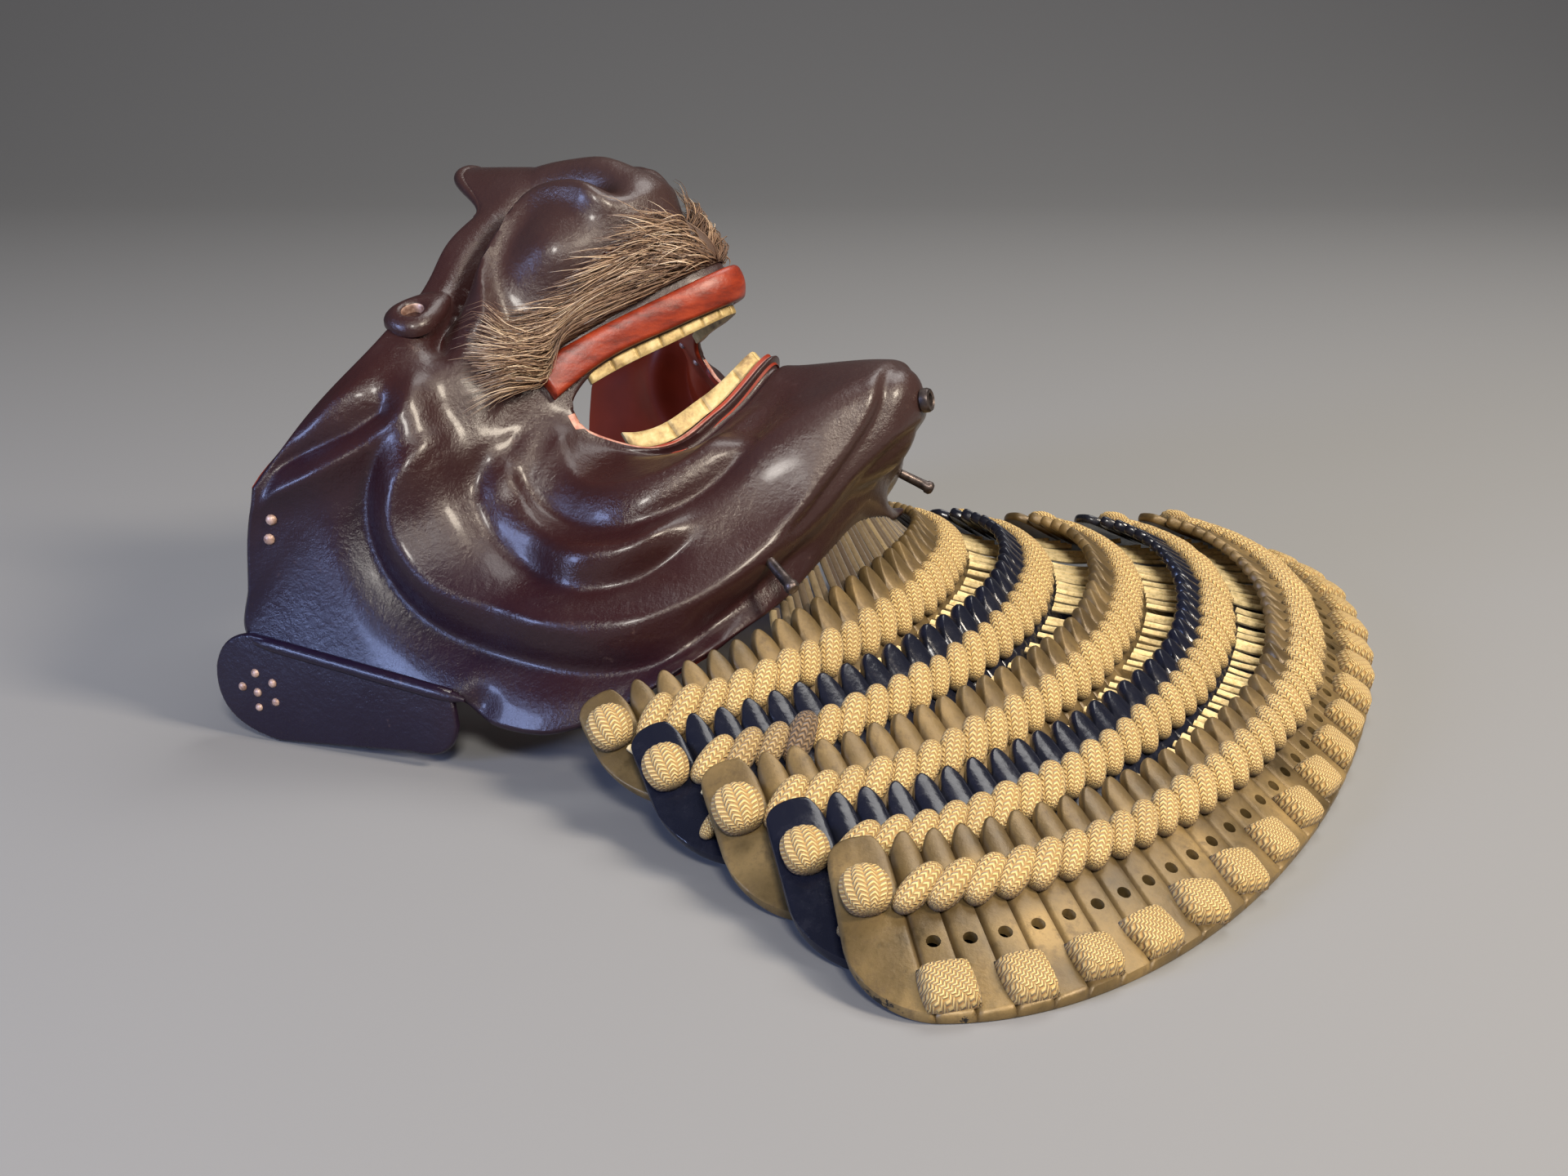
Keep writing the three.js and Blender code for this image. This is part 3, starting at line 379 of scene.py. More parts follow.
    def world(self, points):
        """From the upright mask's own frame to where it lies, in metres."""
        return (points @ self.turn.T + self.shift) * MM

    def direction(self, vectors):
        return vectors @ self.turn.T


class LameForm:
    """A lame's middle surface in millimetres, at a share along it and a share of its height."""

    def __init__(self, row, sizes, shift):
        self.name = row[0]
        half, rear, front, rear_up, front_up, foot_half, foot_rear, foot_front, foot_up = row[1:]
        self.wide = sizes.half_width / MM
        self.long = sizes.length / MM
        self.rise = sizes.rise / MM
        self.thick = sizes.thickness / MM
        self.corner = sizes.corner / MM
        self.shift = shift
        self.top = self.walk(half, rear, front, rear_up, front_up, UPPER_ROUNDNESS)
        self.foot = self.walk(foot_half, foot_rear, foot_front, foot_up, foot_up, LOWER_ROUNDNESS)
        self.length = self.top[1][-1]
        self.count = int(round(self.length / (sizes.pitch / MM)))

    def scale_share(self, scale):
        """The share along the lame where a scale's edge stands: they crowd towards the ends."""
        even = np.asarray(scale, float) / self.count
        return even - END_CROWDING * np.sin(2 * math.pi * even) / (2 * math.pi)

    def edge(self, shape, turn):
        half, rear, front, rear_up, front_up, roundness = shape
        angle = np.asarray(turn) * math.pi / 2
        x = np.sign(angle) * np.abs(np.sin(angle)) ** (2 / roundness) * half * self.wide
        ahead = np.abs(np.cos(angle)) ** (2 / roundness)
        return np.stack([x, (rear + (front - rear) * ahead) * self.long,
                         (rear_up + (front_up - rear_up) * ahead) * self.rise], -1)

    def walk(self, *shape):
        turns = np.linspace(-1, 1, 241)
        points = self.edge(shape, turns)
        lengths = np.concatenate([[0], np.cumsum(np.linalg.norm(np.diff(points, axis=0), axis=1))])
        return shape, lengths, turns

    def follow(self, walk, share):
        shape, lengths, turns = walk
        return self.edge(shape, np.interp(clamp(share, 0, 1) * lengths[-1], lengths, turns))

    def at(self, share, height):
        share, height = np.broadcast_arrays(np.asarray(share, float), np.asarray(height, float))
        low, high = self.follow(self.foot, share), self.follow(self.top, share)
        return low + (high - low) * height[..., None]

    def slant(self, share):
        return np.linalg.norm(self.at(share, 1) - self.at(share, 0), axis=-1)

    def inside(self, share):
        return clamp(np.asarray(share, float), 1.2 * LAME_STEP, 1 - 1.2 * LAME_STEP)

    def normal(self, share, height):
        s = self.inside(share)
        return unit(np.cross(self.along(share, height), self.at(s, 1) - self.at(s, 0)))

    def along(self, share, height):
        s = self.inside(share)
        return unit(self.at(s + LAME_STEP, height) - self.at(s - LAME_STEP, height))

    def upward(self, share):
        return unit(self.at(share, 1) - self.at(share, 0))

    def offset(self, share, height, distance):
        share, height, distance = np.broadcast_arrays(
            np.asarray(share, float), np.asarray(height, float), np.asarray(distance, float))
        return self.at(share, height) + self.normal(share, height) * distance[..., None]

    def foot_rise(self, share):
        end = np.minimum(share, 1 - share) * self.length * 1.1
        drop = clamp(self.corner - end, 0, self.corner)
        return (self.corner - np.sqrt(self.corner**2 - drop**2)) / self.slant(share)

    def world(self, points):
        return (points + self.shift) * MM


def guard_shift(sizes):
    """How far the whole guard is moved to centre it, read from the lowest lame's solid."""
    lame = LameForm(LAMES[-1], sizes, np.zeros(3))
    share = lame.scale_share(np.arange(2 * lame.count + 1) / 2)
    foot = lame.foot_rise(share)
    rims = np.concatenate([lame.offset(share, foot, side * lame.thick / 2) for side in (-1, 1)])
    low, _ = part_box("lowest_lame")
    return np.array([0, low.y / MM - rims[:, 1].min(), low.z / MM - rims[:, 2].min()])


# Meshes
def new_piece(name, points, faces, materials, face_materials=None, sharp=40, uv=None):
    """A smooth-shaded mesh object with its place in its mesh."""
    mesh = bpy.data.meshes.new(name)
    mesh.from_pydata(np.asarray(points, float).tolist(), [], [list(map(int, f)) for f in faces])
    for material in materials:
        mesh.materials.append(material)
    if face_materials is not None:
        mesh.polygons.foreach_set("material_index", np.asarray(face_materials, np.int32))
    if uv is not None:
        layer = mesh.uv_layers.new(name="UVMap")
        loops = np.empty(len(mesh.loops), np.int32)
        mesh.loops.foreach_get("vertex_index", loops)
        layer.data.foreach_set("uv", np.asarray(uv, np.float32)[loops].ravel())
    tidy_mesh(mesh, sharp)
    piece = bpy.data.objects.new(name, mesh)
    bpy.context.scene.collection.objects.link(piece)
    return piece


def tidy_mesh(mesh, sharp=40, merge=1e-7):
    work = bmesh.new()
    work.from_mesh(mesh)
    bmesh.ops.remove_doubles(work, verts=work.verts, dist=merge)
    loose = [v for v in work.verts if not v.link_faces]
    bmesh.ops.delete(work, geom=loose, context="VERTS")
    if work.faces and work.calc_volume(signed=True) < 0:
        bmesh.ops.reverse_faces(work, faces=work.faces)
    work.to_mesh(mesh)
    work.free()
    mesh.shade_smooth()
    mesh.set_sharp_from_angle(angle=math.radians(sharp))
    mesh.validate()


def wall_faces(columns, rows, filled, outer_look=0, inner_look=1, rim_look=0):
    """Faces of a wall between two grids, outer one first, over the cells that are filled."""
    nodes = columns * rows
    ids = np.arange(nodes).reshape(columns, rows)
    a, b, c, d = ids[:-1, :-1], ids[1:, :-1], ids[1:, 1:], ids[:-1, 1:]
    pad = np.zeros((columns + 1, rows + 1), bool)
    pad[1:-1, 1:-1] = filled
    faces, looks = [], []

    def add(mask, corners, look):
        faces.append(np.stack([grid[mask] for grid in corners], 1))
        looks.append(np.broadcast_to(look, mask.shape)[mask])

    add(filled, (a, b, c, d), outer_look)
    add(filled, (a + nodes, d + nodes, c + nodes, b + nodes), inner_look)
    add(filled & ~pad[:-2, 1:-1], (d, d + nodes, a + nodes, a), rim_look)
    add(filled & ~pad[2:, 1:-1], (b, b + nodes, c + nodes, c), rim_look)
    add(filled & ~pad[1:-1, :-2], (a, a + nodes, b + nodes, b), rim_look)
    add(filled & ~pad[1:-1, 2:], (c, c + nodes, d + nodes, d), rim_look)
    return np.concatenate(faces), np.concatenate(looks)


def solid_band(name, form, outer, inner, look, sharp=40):
    """A closed band between an outer and an inner grid of points."""
    columns, rows = outer.shape[:2]
    faces, _ = wall_faces(columns, rows, np.ones((columns - 1, rows - 1), bool))
    points = form.world(np.concatenate([outer.reshape(-1, 3), inner.reshape(-1, 3)]))
    return new_piece(name, points, faces, [look], sharp=sharp)


def ring_faces(first, second, sides):
    """The faces between two rings of points, each given by the number of its first point."""
    turn = [(k, (k + 1) % sides) for k in range(sides)]
    return [(first + k, first + n, second + n, second + k) for k, n in turn]


def rounded(distance, radius):
    """How far a face sinks at a distance from its edge, for a quarter-round edge."""
    inside = clamp(1 - distance / radius, 0, 1)
    return radius * (1 - np.sqrt(1 - inside**2))


def steps(*parts):
    """Numbers in even steps, from (start, stop, count) parts that follow one another."""
    values = [parts[0][0]]
    for start, stop, count in parts:
        values.extend(np.linspace(start, stop, count + 1)[1:])
    return np.array(values)


def boolean(piece, other, operation):
    """Joins or cuts with another mesh, and removes it."""
    modifier = piece.modifiers.new("cut", "BOOLEAN")
    modifier.operation = operation
    modifier.solver = "MANIFOLD"
    modifier.object = other
    bake(piece)
    bpy.data.objects.remove(other)


def bake(piece):
    """Turns the modifiers of a piece into plain mesh."""
    bpy.context.view_layer.update()
    graph = bpy.context.evaluated_depsgraph_get()
    made = bpy.data.meshes.new_from_object(piece.evaluated_get(graph), depsgraph=graph)
    if not len(made.polygons):
        raise RuntimeError(f"{piece.name} came out empty")
    old = piece.data
    piece.modifiers.clear()
    piece.data = made
    made.name = piece.name
    if old.users == 0:
        bpy.data.meshes.remove(old)


def finish_piece(piece, nodes):
    """Hands a finished piece to the frame in place of its solids."""
    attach(piece, "root")
    if nodes:
        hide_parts(*nodes)


# Node trees that repeat a shape
def add_node(tree, kind, links=None, **values):
    node = tree.nodes.new(kind)
    for name, value in values.items():
        setattr(node, name, value)
    for name, value in (links or {}).items():
        socket = node.inputs[name]
        if isinstance(value, bpy.types.NodeSocket):
            tree.links.new(value, socket)
        else:
            socket.default_value = value
    return node


def new_tree(name, inputs):
    tree = bpy.data.node_groups.new(name, "GeometryNodeTree")
    tree.interface.new_socket("Geometry", in_out="INPUT", socket_type="NodeSocketGeometry")
    keys = {}
    for label, kind, default in inputs:
        item = tree.interface.new_socket(label, in_out="INPUT", socket_type=kind)
        if default is not None:
            item.default_value = default
        keys[label] = item.identifier
    tree.interface.new_socket("Geometry", in_out="OUTPUT", socket_type="NodeSocketGeometry")
    return tree, tree.nodes.new("NodeGroupInput").outputs, tree.nodes.new("NodeGroupOutput").inputs, keys


def close_tree(tree, geometry, given, result):
    real = add_node(tree, "GeometryNodeRealizeInstances", {"Geometry": geometry})
    painted = add_node(tree, "GeometryNodeSetMaterial",
                       {"Geometry": real.outputs[0], "Material": given["Material"]})
    tree.links.new(painted.outputs[0], result[0])


def named(tree, name, kind):
    return add_node(tree, "GeometryNodeInputNamedAttribute", {"Name": name}, data_type=kind).outputs[0]


def scatter_tree():
    """Sets a shape on every point: its Z along the point's way, its X outward."""
    tree, given, result, keys = new_tree("Set shape on points", [
        ("Shape", "NodeSocketObject", None), ("Material", "NodeSocketMaterial", None),
        ("Size", "NodeSocketFloat", 1.0),
    ])
    points = add_node(tree, "GeometryNodeMeshToPoints", {"Mesh": given["Geometry"]})
    shape = add_node(tree, "GeometryNodeObjectInfo", {"Object": given["Shape"]})
    first = add_node(tree, "FunctionNodeAlignRotationToVector",
                     {"Vector": named(tree, "way", "FLOAT_VECTOR")}, axis="Z")
    second = add_node(tree, "FunctionNodeAlignRotationToVector",
                      {"Rotation": first.outputs[0], "Vector": named(tree, "outward", "FLOAT_VECTOR")},
                      axis="X", pivot_axis="Z")
    size = add_node(tree, "ShaderNodeVectorMath", operation="SCALE")
    tree.links.new(named(tree, "stretch", "FLOAT_VECTOR"), size.inputs[0])
    tree.links.new(given["Size"], size.inputs["Scale"])
    spread = add_node(tree, "GeometryNodeInstanceOnPoints", {
        "Points": points.outputs[0], "Instance": shape.outputs["Geometry"],
        "Rotation": second.outputs[0], "Scale": size.outputs[0],
    })
    close_tree(tree, spread.outputs[0], given, result)
    return tree, keys


def strand_tree():
    """Turns every path of edges into a strand whose width follows the point's thickness."""
    tree, given, result, keys = new_tree("Sweep strands along paths", [
        ("Material", "NodeSocketMaterial", None), ("Radius", "NodeSocketFloat", 0.001),
        ("Flatness", "NodeSocketFloat", 1.0), ("Sides", "NodeSocketInt", 6),
    ])
    path = add_node(tree, "GeometryNodeMeshToCurve", {"Mesh": given["Geometry"]})
    ring = add_node(tree, "GeometryNodeCurvePrimitiveCircle",
                    {"Resolution": given["Sides"], "Radius": given["Radius"]})
    squeeze = add_node(tree, "ShaderNodeCombineXYZ", {"X": 1.0, "Y": given["Flatness"], "Z": 1.0})
    flat = add_node(tree, "GeometryNodeTransform",
                    {"Geometry": ring.outputs[0], "Scale": squeeze.outputs[0]})
    swept = add_node(tree, "GeometryNodeCurveToMesh", {
        "Curve": path.outputs[0], "Profile Curve": flat.outputs[0],
        "Scale": named(tree, "thickness", "FLOAT"), "Fill Caps": True,
    })
    close_tree(tree, swept.outputs[0], given, result)
    return tree, keys


def grow(name, mesh, tree_and_keys, values, sharp=50):
    """Runs a node tree on a mesh and keeps the result as a plain piece."""
    tree, keys = tree_and_keys
    piece = bpy.data.objects.new(name, mesh)
    bpy.context.scene.collection.objects.link(piece)
    modifier = piece.modifiers.new("repeat", "NODES")
    modifier.node_group = tree
    for label, value in values.items():
        modifier[keys[label]] = value
    bake(piece)
    work = bmesh.new()
    work.from_mesh(piece.data)
    bmesh.ops.recalc_face_normals(work, faces=work.faces)
    work.to_mesh(piece.data)
    work.free()
    piece.data.shade_smooth()
    piece.data.set_sharp_from_angle(angle=math.radians(sharp))
    return piece


def mark_points(mesh, label, values):
    """Stores a number or a direction on every point, for a node tree or a finish to read."""
    values = np.asarray(values, np.float32)
    kind, field = ("FLOAT", "value") if values.ndim == 1 else ("FLOAT_VECTOR", "vector")
    mesh.attributes.new(label, kind, "POINT").data.foreach_set(field, values.ravel())


def point_mesh(name, points, way, outward, stretch, tone):
    """Points for scatter_tree, each with its directions, its size along them and its tone."""
    mesh = bpy.data.meshes.new(name)
    mesh.from_pydata(np.asarray(points, float).tolist(), [], [])
    for label, values in (("way", way), ("outward", outward), ("stretch", stretch), ("tone", tone)):
        mark_points(mesh, label, values)
    return mesh


def path_mesh(name, paths, thickness, tone):
    """Edges along each path (paths x points x 3), with a thickness and a tone at every point."""
    count, length = paths.shape[:2]
    mesh = bpy.data.meshes.new(name)
    first = (np.arange(count) * length)[:, None] + np.arange(length - 1)
    edges = np.stack([first.ravel(), first.ravel() + 1], 1)
    mesh.from_pydata(paths.reshape(-1, 3).tolist(), edges.tolist(), [])
    for label, values in (("thickness", thickness), ("tone", tone)):
        mark_points(mesh, label, np.broadcast_to(values, (count, length)).ravel())
    return mesh


# Finishes
class Finish:
    """A node material while it is made."""

    def __init__(self, name, color=(0.5, 0.5, 0.5), **values):
        self.material = bpy.data.materials.new(name)
        self.material.use_nodes = True
        self.tree = self.material.node_tree
        self.shader = self.tree.nodes["Principled BSDF"]
        self.shader.inputs["Base Color"].default_value = (*color, 1)
        for label, value in values.items():
            self.shader.inputs[label.replace("_", " ").title().replace("Ior", "IOR")].default_value = value
        self.place = add_node(self.tree, "ShaderNodeTexCoord").outputs["Object"]

    def stretched(self, scale):
        return add_node(self.tree, "ShaderNodeMapping", {"Vector": self.place, "Scale": scale}).outputs[0]

    def noise(self, scale, detail=4.0, roughness=0.5, vector=None):
        return add_node(self.tree, "ShaderNodeTexNoise", {
            "Vector": vector or self.place, "Scale": scale, "Detail": detail, "Roughness": roughness,
        }).outputs["Fac"]

    def ramp(self, value, *stops):
        node = add_node(self.tree, "ShaderNodeValToRGB", {"Fac": value})
        elements = node.color_ramp.elements
        while len(elements) < len(stops):
            elements.new(0.5)
        for element, (position, color) in zip(elements, stops):
            element.position = position
            element.color = (*color, 1)
        return node.outputs["Color"]

    def band(self, value, low, high, from_low=0.0, to_high=1.0):
        return add_node(self.tree, "ShaderNodeMapRange", {
            "Value": value, "From Min": low, "From Max": high, "To Min": from_low, "To Max": to_high,
        }, clamp=True).outputs[0]

    def mix(self, factor, first, second):
        node = add_node(self.tree, "ShaderNodeMix", data_type="RGBA")
        for socket, value in ((node.inputs[0], factor), (node.inputs[6], first), (node.inputs[7], second)):
            if isinstance(value, bpy.types.NodeSocket):
                self.tree.links.new(value, socket)
            else:
                socket.default_value = (*value, 1)
        return node.outputs[2]

    def math(self, operation, first, second=0.0):
        node = add_node(self.tree, "ShaderNodeMath", operation=operation)
        for socket, value in zip(node.inputs, (first, second)):
            if isinstance(value, bpy.types.NodeSocket):
                self.tree.links.new(value, socket)
            else:
                socket.default_value = value
        return node.outputs[0]

    def attribute(self, name):
        return add_node(self.tree, "ShaderNodeAttribute", attribute_name=name).outputs["Fac"]

    def paint(self, color):
        self.tree.links.new(color, self.shader.inputs["Base Color"])

    def rough(self, value):
        self.tree.links.new(value, self.shader.inputs["Roughness"])

    def bump(self, height, depth, strength=1.0):
        node = add_node(self.tree, "ShaderNodeBump",
                        {"Height": height, "Distance": depth, "Strength": strength})
        below = self.shader.inputs["Normal"]
        if below.is_linked:
            self.tree.links.new(below.links[0].from_socket, node.inputs["Normal"])
        self.tree.links.new(node.outputs[0], below)


def shade(color, factor):
    return tuple(min(1, c * factor) for c in color)


def mask_lacquer(color):
    """Painted light: cool, dark shade low down at the back, warm in front, and lighter brown towards the nose,
    partly wear and partly painted sheen.
    """
    look = Finish("Russet-black lacquer", roughness=0.3, coat_weight=0.18, coat_roughness=0.14,
                  specular_ior_level=0.4)
    cloud = look.noise(22, 5, 0.6)
    split = add_node(look.tree, "ShaderNodeSeparateXYZ", {"Vector": look.place})
    # The colour follows height and nearness to the front: painted shade low down at the back, painted sheen
    # high up at the nose.
    height = look.math("MULTIPLY", split.outputs[2], 9.0)
    ahead = look.math("MULTIPLY", split.outputs[1], -5.5)
    rise = look.math("ADD", look.math("ADD", height, ahead), look.math("MULTIPLY", cloud, 0.55))
    # Lighter brown high up: partly rubbed wear, partly painted sheen. Bluish dark low down: painted shade.
    worn = (color[0] * 1.9, color[1] * 2.5, color[2] * 1.6)
    warm = (color[0] * 1.1, color[1] * 0.75, color[2] * 0.55)
    cool_shade = (color[0] * 0.33, color[1] * 0.38, color[2] * 1.15)
    base = look.ramp(look.band(rise, -0.1, 1.1), (0.08, cool_shade), (0.5, warm), (0.95, worn))
    rub = look.band(look.noise(260, 6, 0.7), 0.64, 0.76)
    base = look.mix(look.math("MULTIPLY", rub, 0.3), base, (0.20, 0.12, 0.10))
    look.paint(base)
    look.rough(look.band(look.noise(70, 6, 0.65), 0.3, 0.7, 0.22, 0.42))
    look.bump(look.noise(75, 4, 0.5), 0.0013, 0.3)
    look.bump(look.noise(620, 5, 0.65), 0.0003, 0.7)
    look.bump(look.noise(1900, 3, 0.6), 0.0001, 0.6)
    return look.material


def inside_lacquer(color):
    look = Finish("Red lacquer inside", roughness=0.45, specular_ior_level=0.3)
    cloud = look.noise(35, 4, 0.5)
    look.paint(look.ramp(cloud, (0.3, shade(color, 0.42)), (0.7, shade(color, 0.95))))
    look.bump(look.noise(60, 3, 0.4), 0.0012, 0.3)
    return look.material


def lip_lacquer(color):
    look = Finish("Vermilion lacquer", roughness=0.42, coat_weight=0.06, coat_roughness=0.2)
    streak = look.noise(90, 6, 0.7, look.stretched((1, 1.6, 5)))
    look.paint(look.ramp(streak, (0.3, shade(color, 0.22)), (0.5, shade(color, 0.62)),
                         (0.74, (color[0] * 1.05, color[1] * 1.3, color[2] * 1.2))))
    look.bump(look.noise(420, 5, 0.6), 0.0004, 0.45)
    return look.material


def rim_lacquer():
    look = Finish("Worn red rim", roughness=0.45)
    rub = look.noise(320, 5, 0.7)
    look.paint(look.ramp(rub, (0.35, (0.34, 0.10, 0.07)), (0.62, (0.62, 0.33, 0.24))))
    look.bump(rub, 0.0003, 0.4)
    return look.material


def tooth_gold():
    look = Finish("Gold leaf on the teeth", roughness=0.5, metallic=0.25)
    rub = look.noise(240, 6, 0.65)
    look.paint(look.ramp(rub, (0.32, (0.16, 0.09, 0.035)), (0.5, (0.46, 0.33, 0.13)),
                         (0.75, (0.70, 0.56, 0.30))))
    look.bump(rub, 0.0003, 0.4)
    return look.material


def bristle():
    look = Finish("Bristle hair", roughness=0.55)
    tone = look.attribute("tone")
    look.paint(look.ramp(tone, (0.0, (0.04, 0.020, 0.012)), (0.4, (0.17, 0.092, 0.052)),
                         (0.75, (0.44, 0.29, 0.175)), (1.0, (0.78, 0.61, 0.42))))
    look.bump(look.noise(1600, 3, 0.5), 0.0001, 0.4)
    return look.material


def worn_gold(color):
    """Gold gone brown in patches and chipped along the foot, with painted shade in the joints between scales
    and under the laces, and darker heads.
    """
    look = Finish("Worn gold lacquer", roughness=0.42, metallic=0.35, coat_weight=0.1, coat_roughness=0.3)
    cloud = look.noise(75, 6, 0.65)
    base = look.ramp(cloud, (0.32, shade(color, 0.3)), (0.5, shade(color, 0.8)), (0.7, shade(color, 1.5)))
    spots = look.band(look.noise(300, 5, 0.72), 0.49, 0.68)
    base = look.mix(look.math("MULTIPLY", spots, 0.7), base, (0.075, 0.048, 0.022))
    worn = look.math("MULTIPLY", look.attribute("worn"), 0.17)
    flaking = look.math("ADD", look.noise(130, 7, 0.75), worn)
    chip = look.band(flaking, 0.695, 0.71)
    # Painted shade in the joints and under the laces, and darker heads.
    base = look.mix(look.math("MULTIPLY", look.attribute("grime"), 0.8), base, (0.055, 0.034, 0.015))
    base = look.mix(chip, base, (0.012, 0.010, 0.010))
    look.paint(base)
    look.rough(look.band(cloud, 0.3, 0.75, 0.36, 0.6))
    look.bump(look.noise(900, 4, 0.6), 0.0002, 0.5)
    look.bump(look.math("SUBTRACT", 1.0, chip), 0.0003, 0.5)
    return look.material


def black_lame(color):
    look = Finish("Black lacquer", roughness=0.22, coat_weight=0.08, coat_roughness=0.1,
                  specular_ior_level=0.35)
    dust = look.band(look.noise(190, 6, 0.7), 0.5, 0.8)
    look.paint(look.mix(look.math("MULTIPLY", dust, 0.35), tuple(color), (0.03, 0.03, 0.042)))
    look.rough(look.band(dust, 0, 1, 0.2, 0.42))
    look.bump(look.noise(120, 4, 0.5), 0.0008, 0.35)
    look.bump(look.noise(500, 4, 0.5), 0.0003, 0.4)
    return look.material


def braided_silk(color):
    """Flat-braided silk: columns of slanting stitches, from the piece's own UV map."""
    look = Finish("Braided silk", roughness=0.8, sheen_weight=0.12, sheen_roughness=0.5)
    spread = add_node(look.tree, "ShaderNodeUVMap", uv_map="UVMap").outputs[0]
    split = add_node(look.tree, "ShaderNodeSeparateXYZ", {"Vector": spread})
    u, v = split.outputs[0], split.outputs[1]
    column = look.math("FRACT", u)
    fold = look.math("ABSOLUTE", look.math("SUBTRACT", column, 0.5))
    phase = look.math("ADD", v, look.math("MULTIPLY", fold, 1.3))
    stitch = look.math("SINE", look.math("MULTIPLY", phase, 2 * math.pi))
    seam = look.band(fold, 0.36, 0.5, 1.0, 0.0)
    full = look.math("ADD", 0.35, look.math("MULTIPLY", seam, 0.65))
    height = look.math("MULTIPLY", look.band(stitch, -1.0, 0.6), full)
    tone = look.attribute("tone")
    # Painted shade: the silk is darker in the grooves between stitches, following the same height that drives
    # the bump.
    line = (color[0] * 0.5, color[1] * 0.37, color[2] * 0.27)
    light = look.mix(look.noise(150, 3, 0.5), shade(color, 0.66), shade(color, 1.1))
    base = look.mix(height, line, light)
    # Painted shade on the side of each loop and block that is turned back towards the lame.
    base = look.mix(look.math("MULTIPLY", look.attribute("turned"), 0.95), base, (0.10, 0.052, 0.017))
    # The darker silk also gets painted shade in its stitch grooves.
    dark = look.mix(height, (0.035, 0.018, 0.009), (0.20, 0.115, 0.06))
    look.paint(look.mix(tone, base, dark))
    look.bump(height, 0.0005, 0.9)
    look.bump(look.noise(2600, 2, 0.5), 0.0001, 0.3)
    return look.material


def plain_silk(color):
    look = Finish("Silk cord", roughness=0.8, sheen_weight=0.3, sheen_roughness=0.5)
    ply = look.noise(900, 4, 0.6)
    # Painted light: the cord is paler than its silk, as if brightly lit.
    pale_as_lit = (color[0] * 1.15, color[1] * 1.2, color[2] * 1.5)
    base = look.ramp(ply, (0.3, shade(color, 0.7)), (0.55, pale_as_lit))
    # The tone darkens a cord: a little at random between the lames, and almost to black as painted shadow on
    # the jaw cords.
    look.paint(look.mix(look.attribute("tone"), base, (0.045, 0.025, 0.011)))
    look.bump(ply, 0.0003, 0.7)
    return look.material


def browned_iron():
    look = Finish("Browned iron", roughness=0.38, metallic=0.75)
    rub = look.noise(300, 6, 0.7)
    look.paint(look.ramp(rub, (0.35, (0.035, 0.027, 0.026)), (0.6, (0.13, 0.10, 0.09)),
                         (0.75, (0.33, 0.29, 0.27))))
    look.bump(rub, 0.0003, 0.5)
    return look.material


def rubbed_rivet():
    look = Finish("Rubbed rivet heads", roughness=0.45, metallic=0.3)
    rub = look.noise(500, 4, 0.6)
    look.paint(look.ramp(rub, (0.35, (0.20, 0.11, 0.08)), (0.65, (0.58, 0.40, 0.32))))
    look.bump(rub, 0.0002, 0.5)
    return look.material


# Pieces of the mask
MOUTH_ROUND_FROM = 0.34
MOUTH_ROUND = 0.36
EDGE_ROUND = 0.9
# Creases of the shell turned more than this are kept crisp, in degrees.
SHELL_SHARP = 66
NOSTRIL_SHARE = 0.225
NOSTRIL_PLACE = 3.95
NOSTRIL_SIZE = (0.0046, 0.0028, 0.006)
DRAIN_PLACE = 9.95
DRAIN_SIZE = (0.0015, 0.0015, 0.006)
# The moustache: its half width as a share, its upper section and how many sections it covers.
HAIR_HALF = 0.43
HAIR_TOP = 4.2
HAIR_DEPTH = 0.64
HAIR_POINTS = 8
HAIR_CLUMPS = 46
# Lip band: half width as a share, upper and lower section, rounding in millimetres.
LIP_HALF = 0.462
LIP_TOP = 4.98
LIP_BOTTOM = 5.96
LIP_ROUND = 1.1
# Teeth: count, half span, upper and lower section, how deep they sit and how far they stand out.
UPPER_TEETH = (14, 0.375, 5.97, 6.14, 0.9, 0.5)
LOWER_TEETH = (8, 0.365, 6.76, 6.97, 1.9, 0.55)
TEETH_THICKNESS = 1.8
# Lugs at the ends of the moustache and pegs under the jaw, by share and section.
LUG_PLACE = (0.6, 0.42)
PEG_PLACE = (0.53, 11.1)
PEG_WAY = (0.43, -0.06, -0.9)


def rounded_mouth(share, place):
    """Moves the rows beside the mouth so that its corners are round."""
    corner = ACROSS["corner"]
    wide = np.abs(share)
    ease = clamp((wide - MOUTH_ROUND_FROM) / (corner - MOUTH_ROUND_FROM), 0, 1)
    inside = MOUTH_ROUND * (1 - np.sqrt(clamp(1 - ease**2, 0, 1)))
    outside = MOUTH_ROUND * (1 - smooth(clamp((wide - corner) / 0.2, 0, 1)))
    closing = np.where(wide <= corner, inside, outside)
    above = place + clamp(place - 5, 0, 1) * closing
    between = 6 + closing + (place - 6) * (1 - 2 * closing)
    below = place - clamp(8 - place, 0, 1) * closing
    return np.where(place <= 6, above, np.where(place < 7, between, below))


def shell_grid():
    """Columns and rows of the shell, closer together where it turns sharply."""
    corner = ACROSS["corner"]
    half = steps((0, 0.2, 20), (0.2, corner - 0.02, 22), (corner - 0.02, corner, 5),
                 (corner, corner + 0.02, 4), (corner + 0.02, 0.7, 20), (0.7, 0.88, 12),
                 (0.88, 0.97, 36), (0.97, 0.99, 6), (0.99, 1, 4))
    columns = np.concatenate([-half[:0:-1], half])
    rows = steps((0, 0.04, 4), (0.04, 1, 10), (1, 2, 11), (2, 3, 14), (3, 4, 14), (4, 5, 18),
                 (5, 5.9, 9), (5.9, 6, 5), (6, 7, 8), (7, 7.1, 5), (7.1, 8, 11), (8, 9, 22),
                 (9, 10, 18), (10, 11, 14), (11, 11.93, 9), (11.93, 12, 5))
    return columns, rows


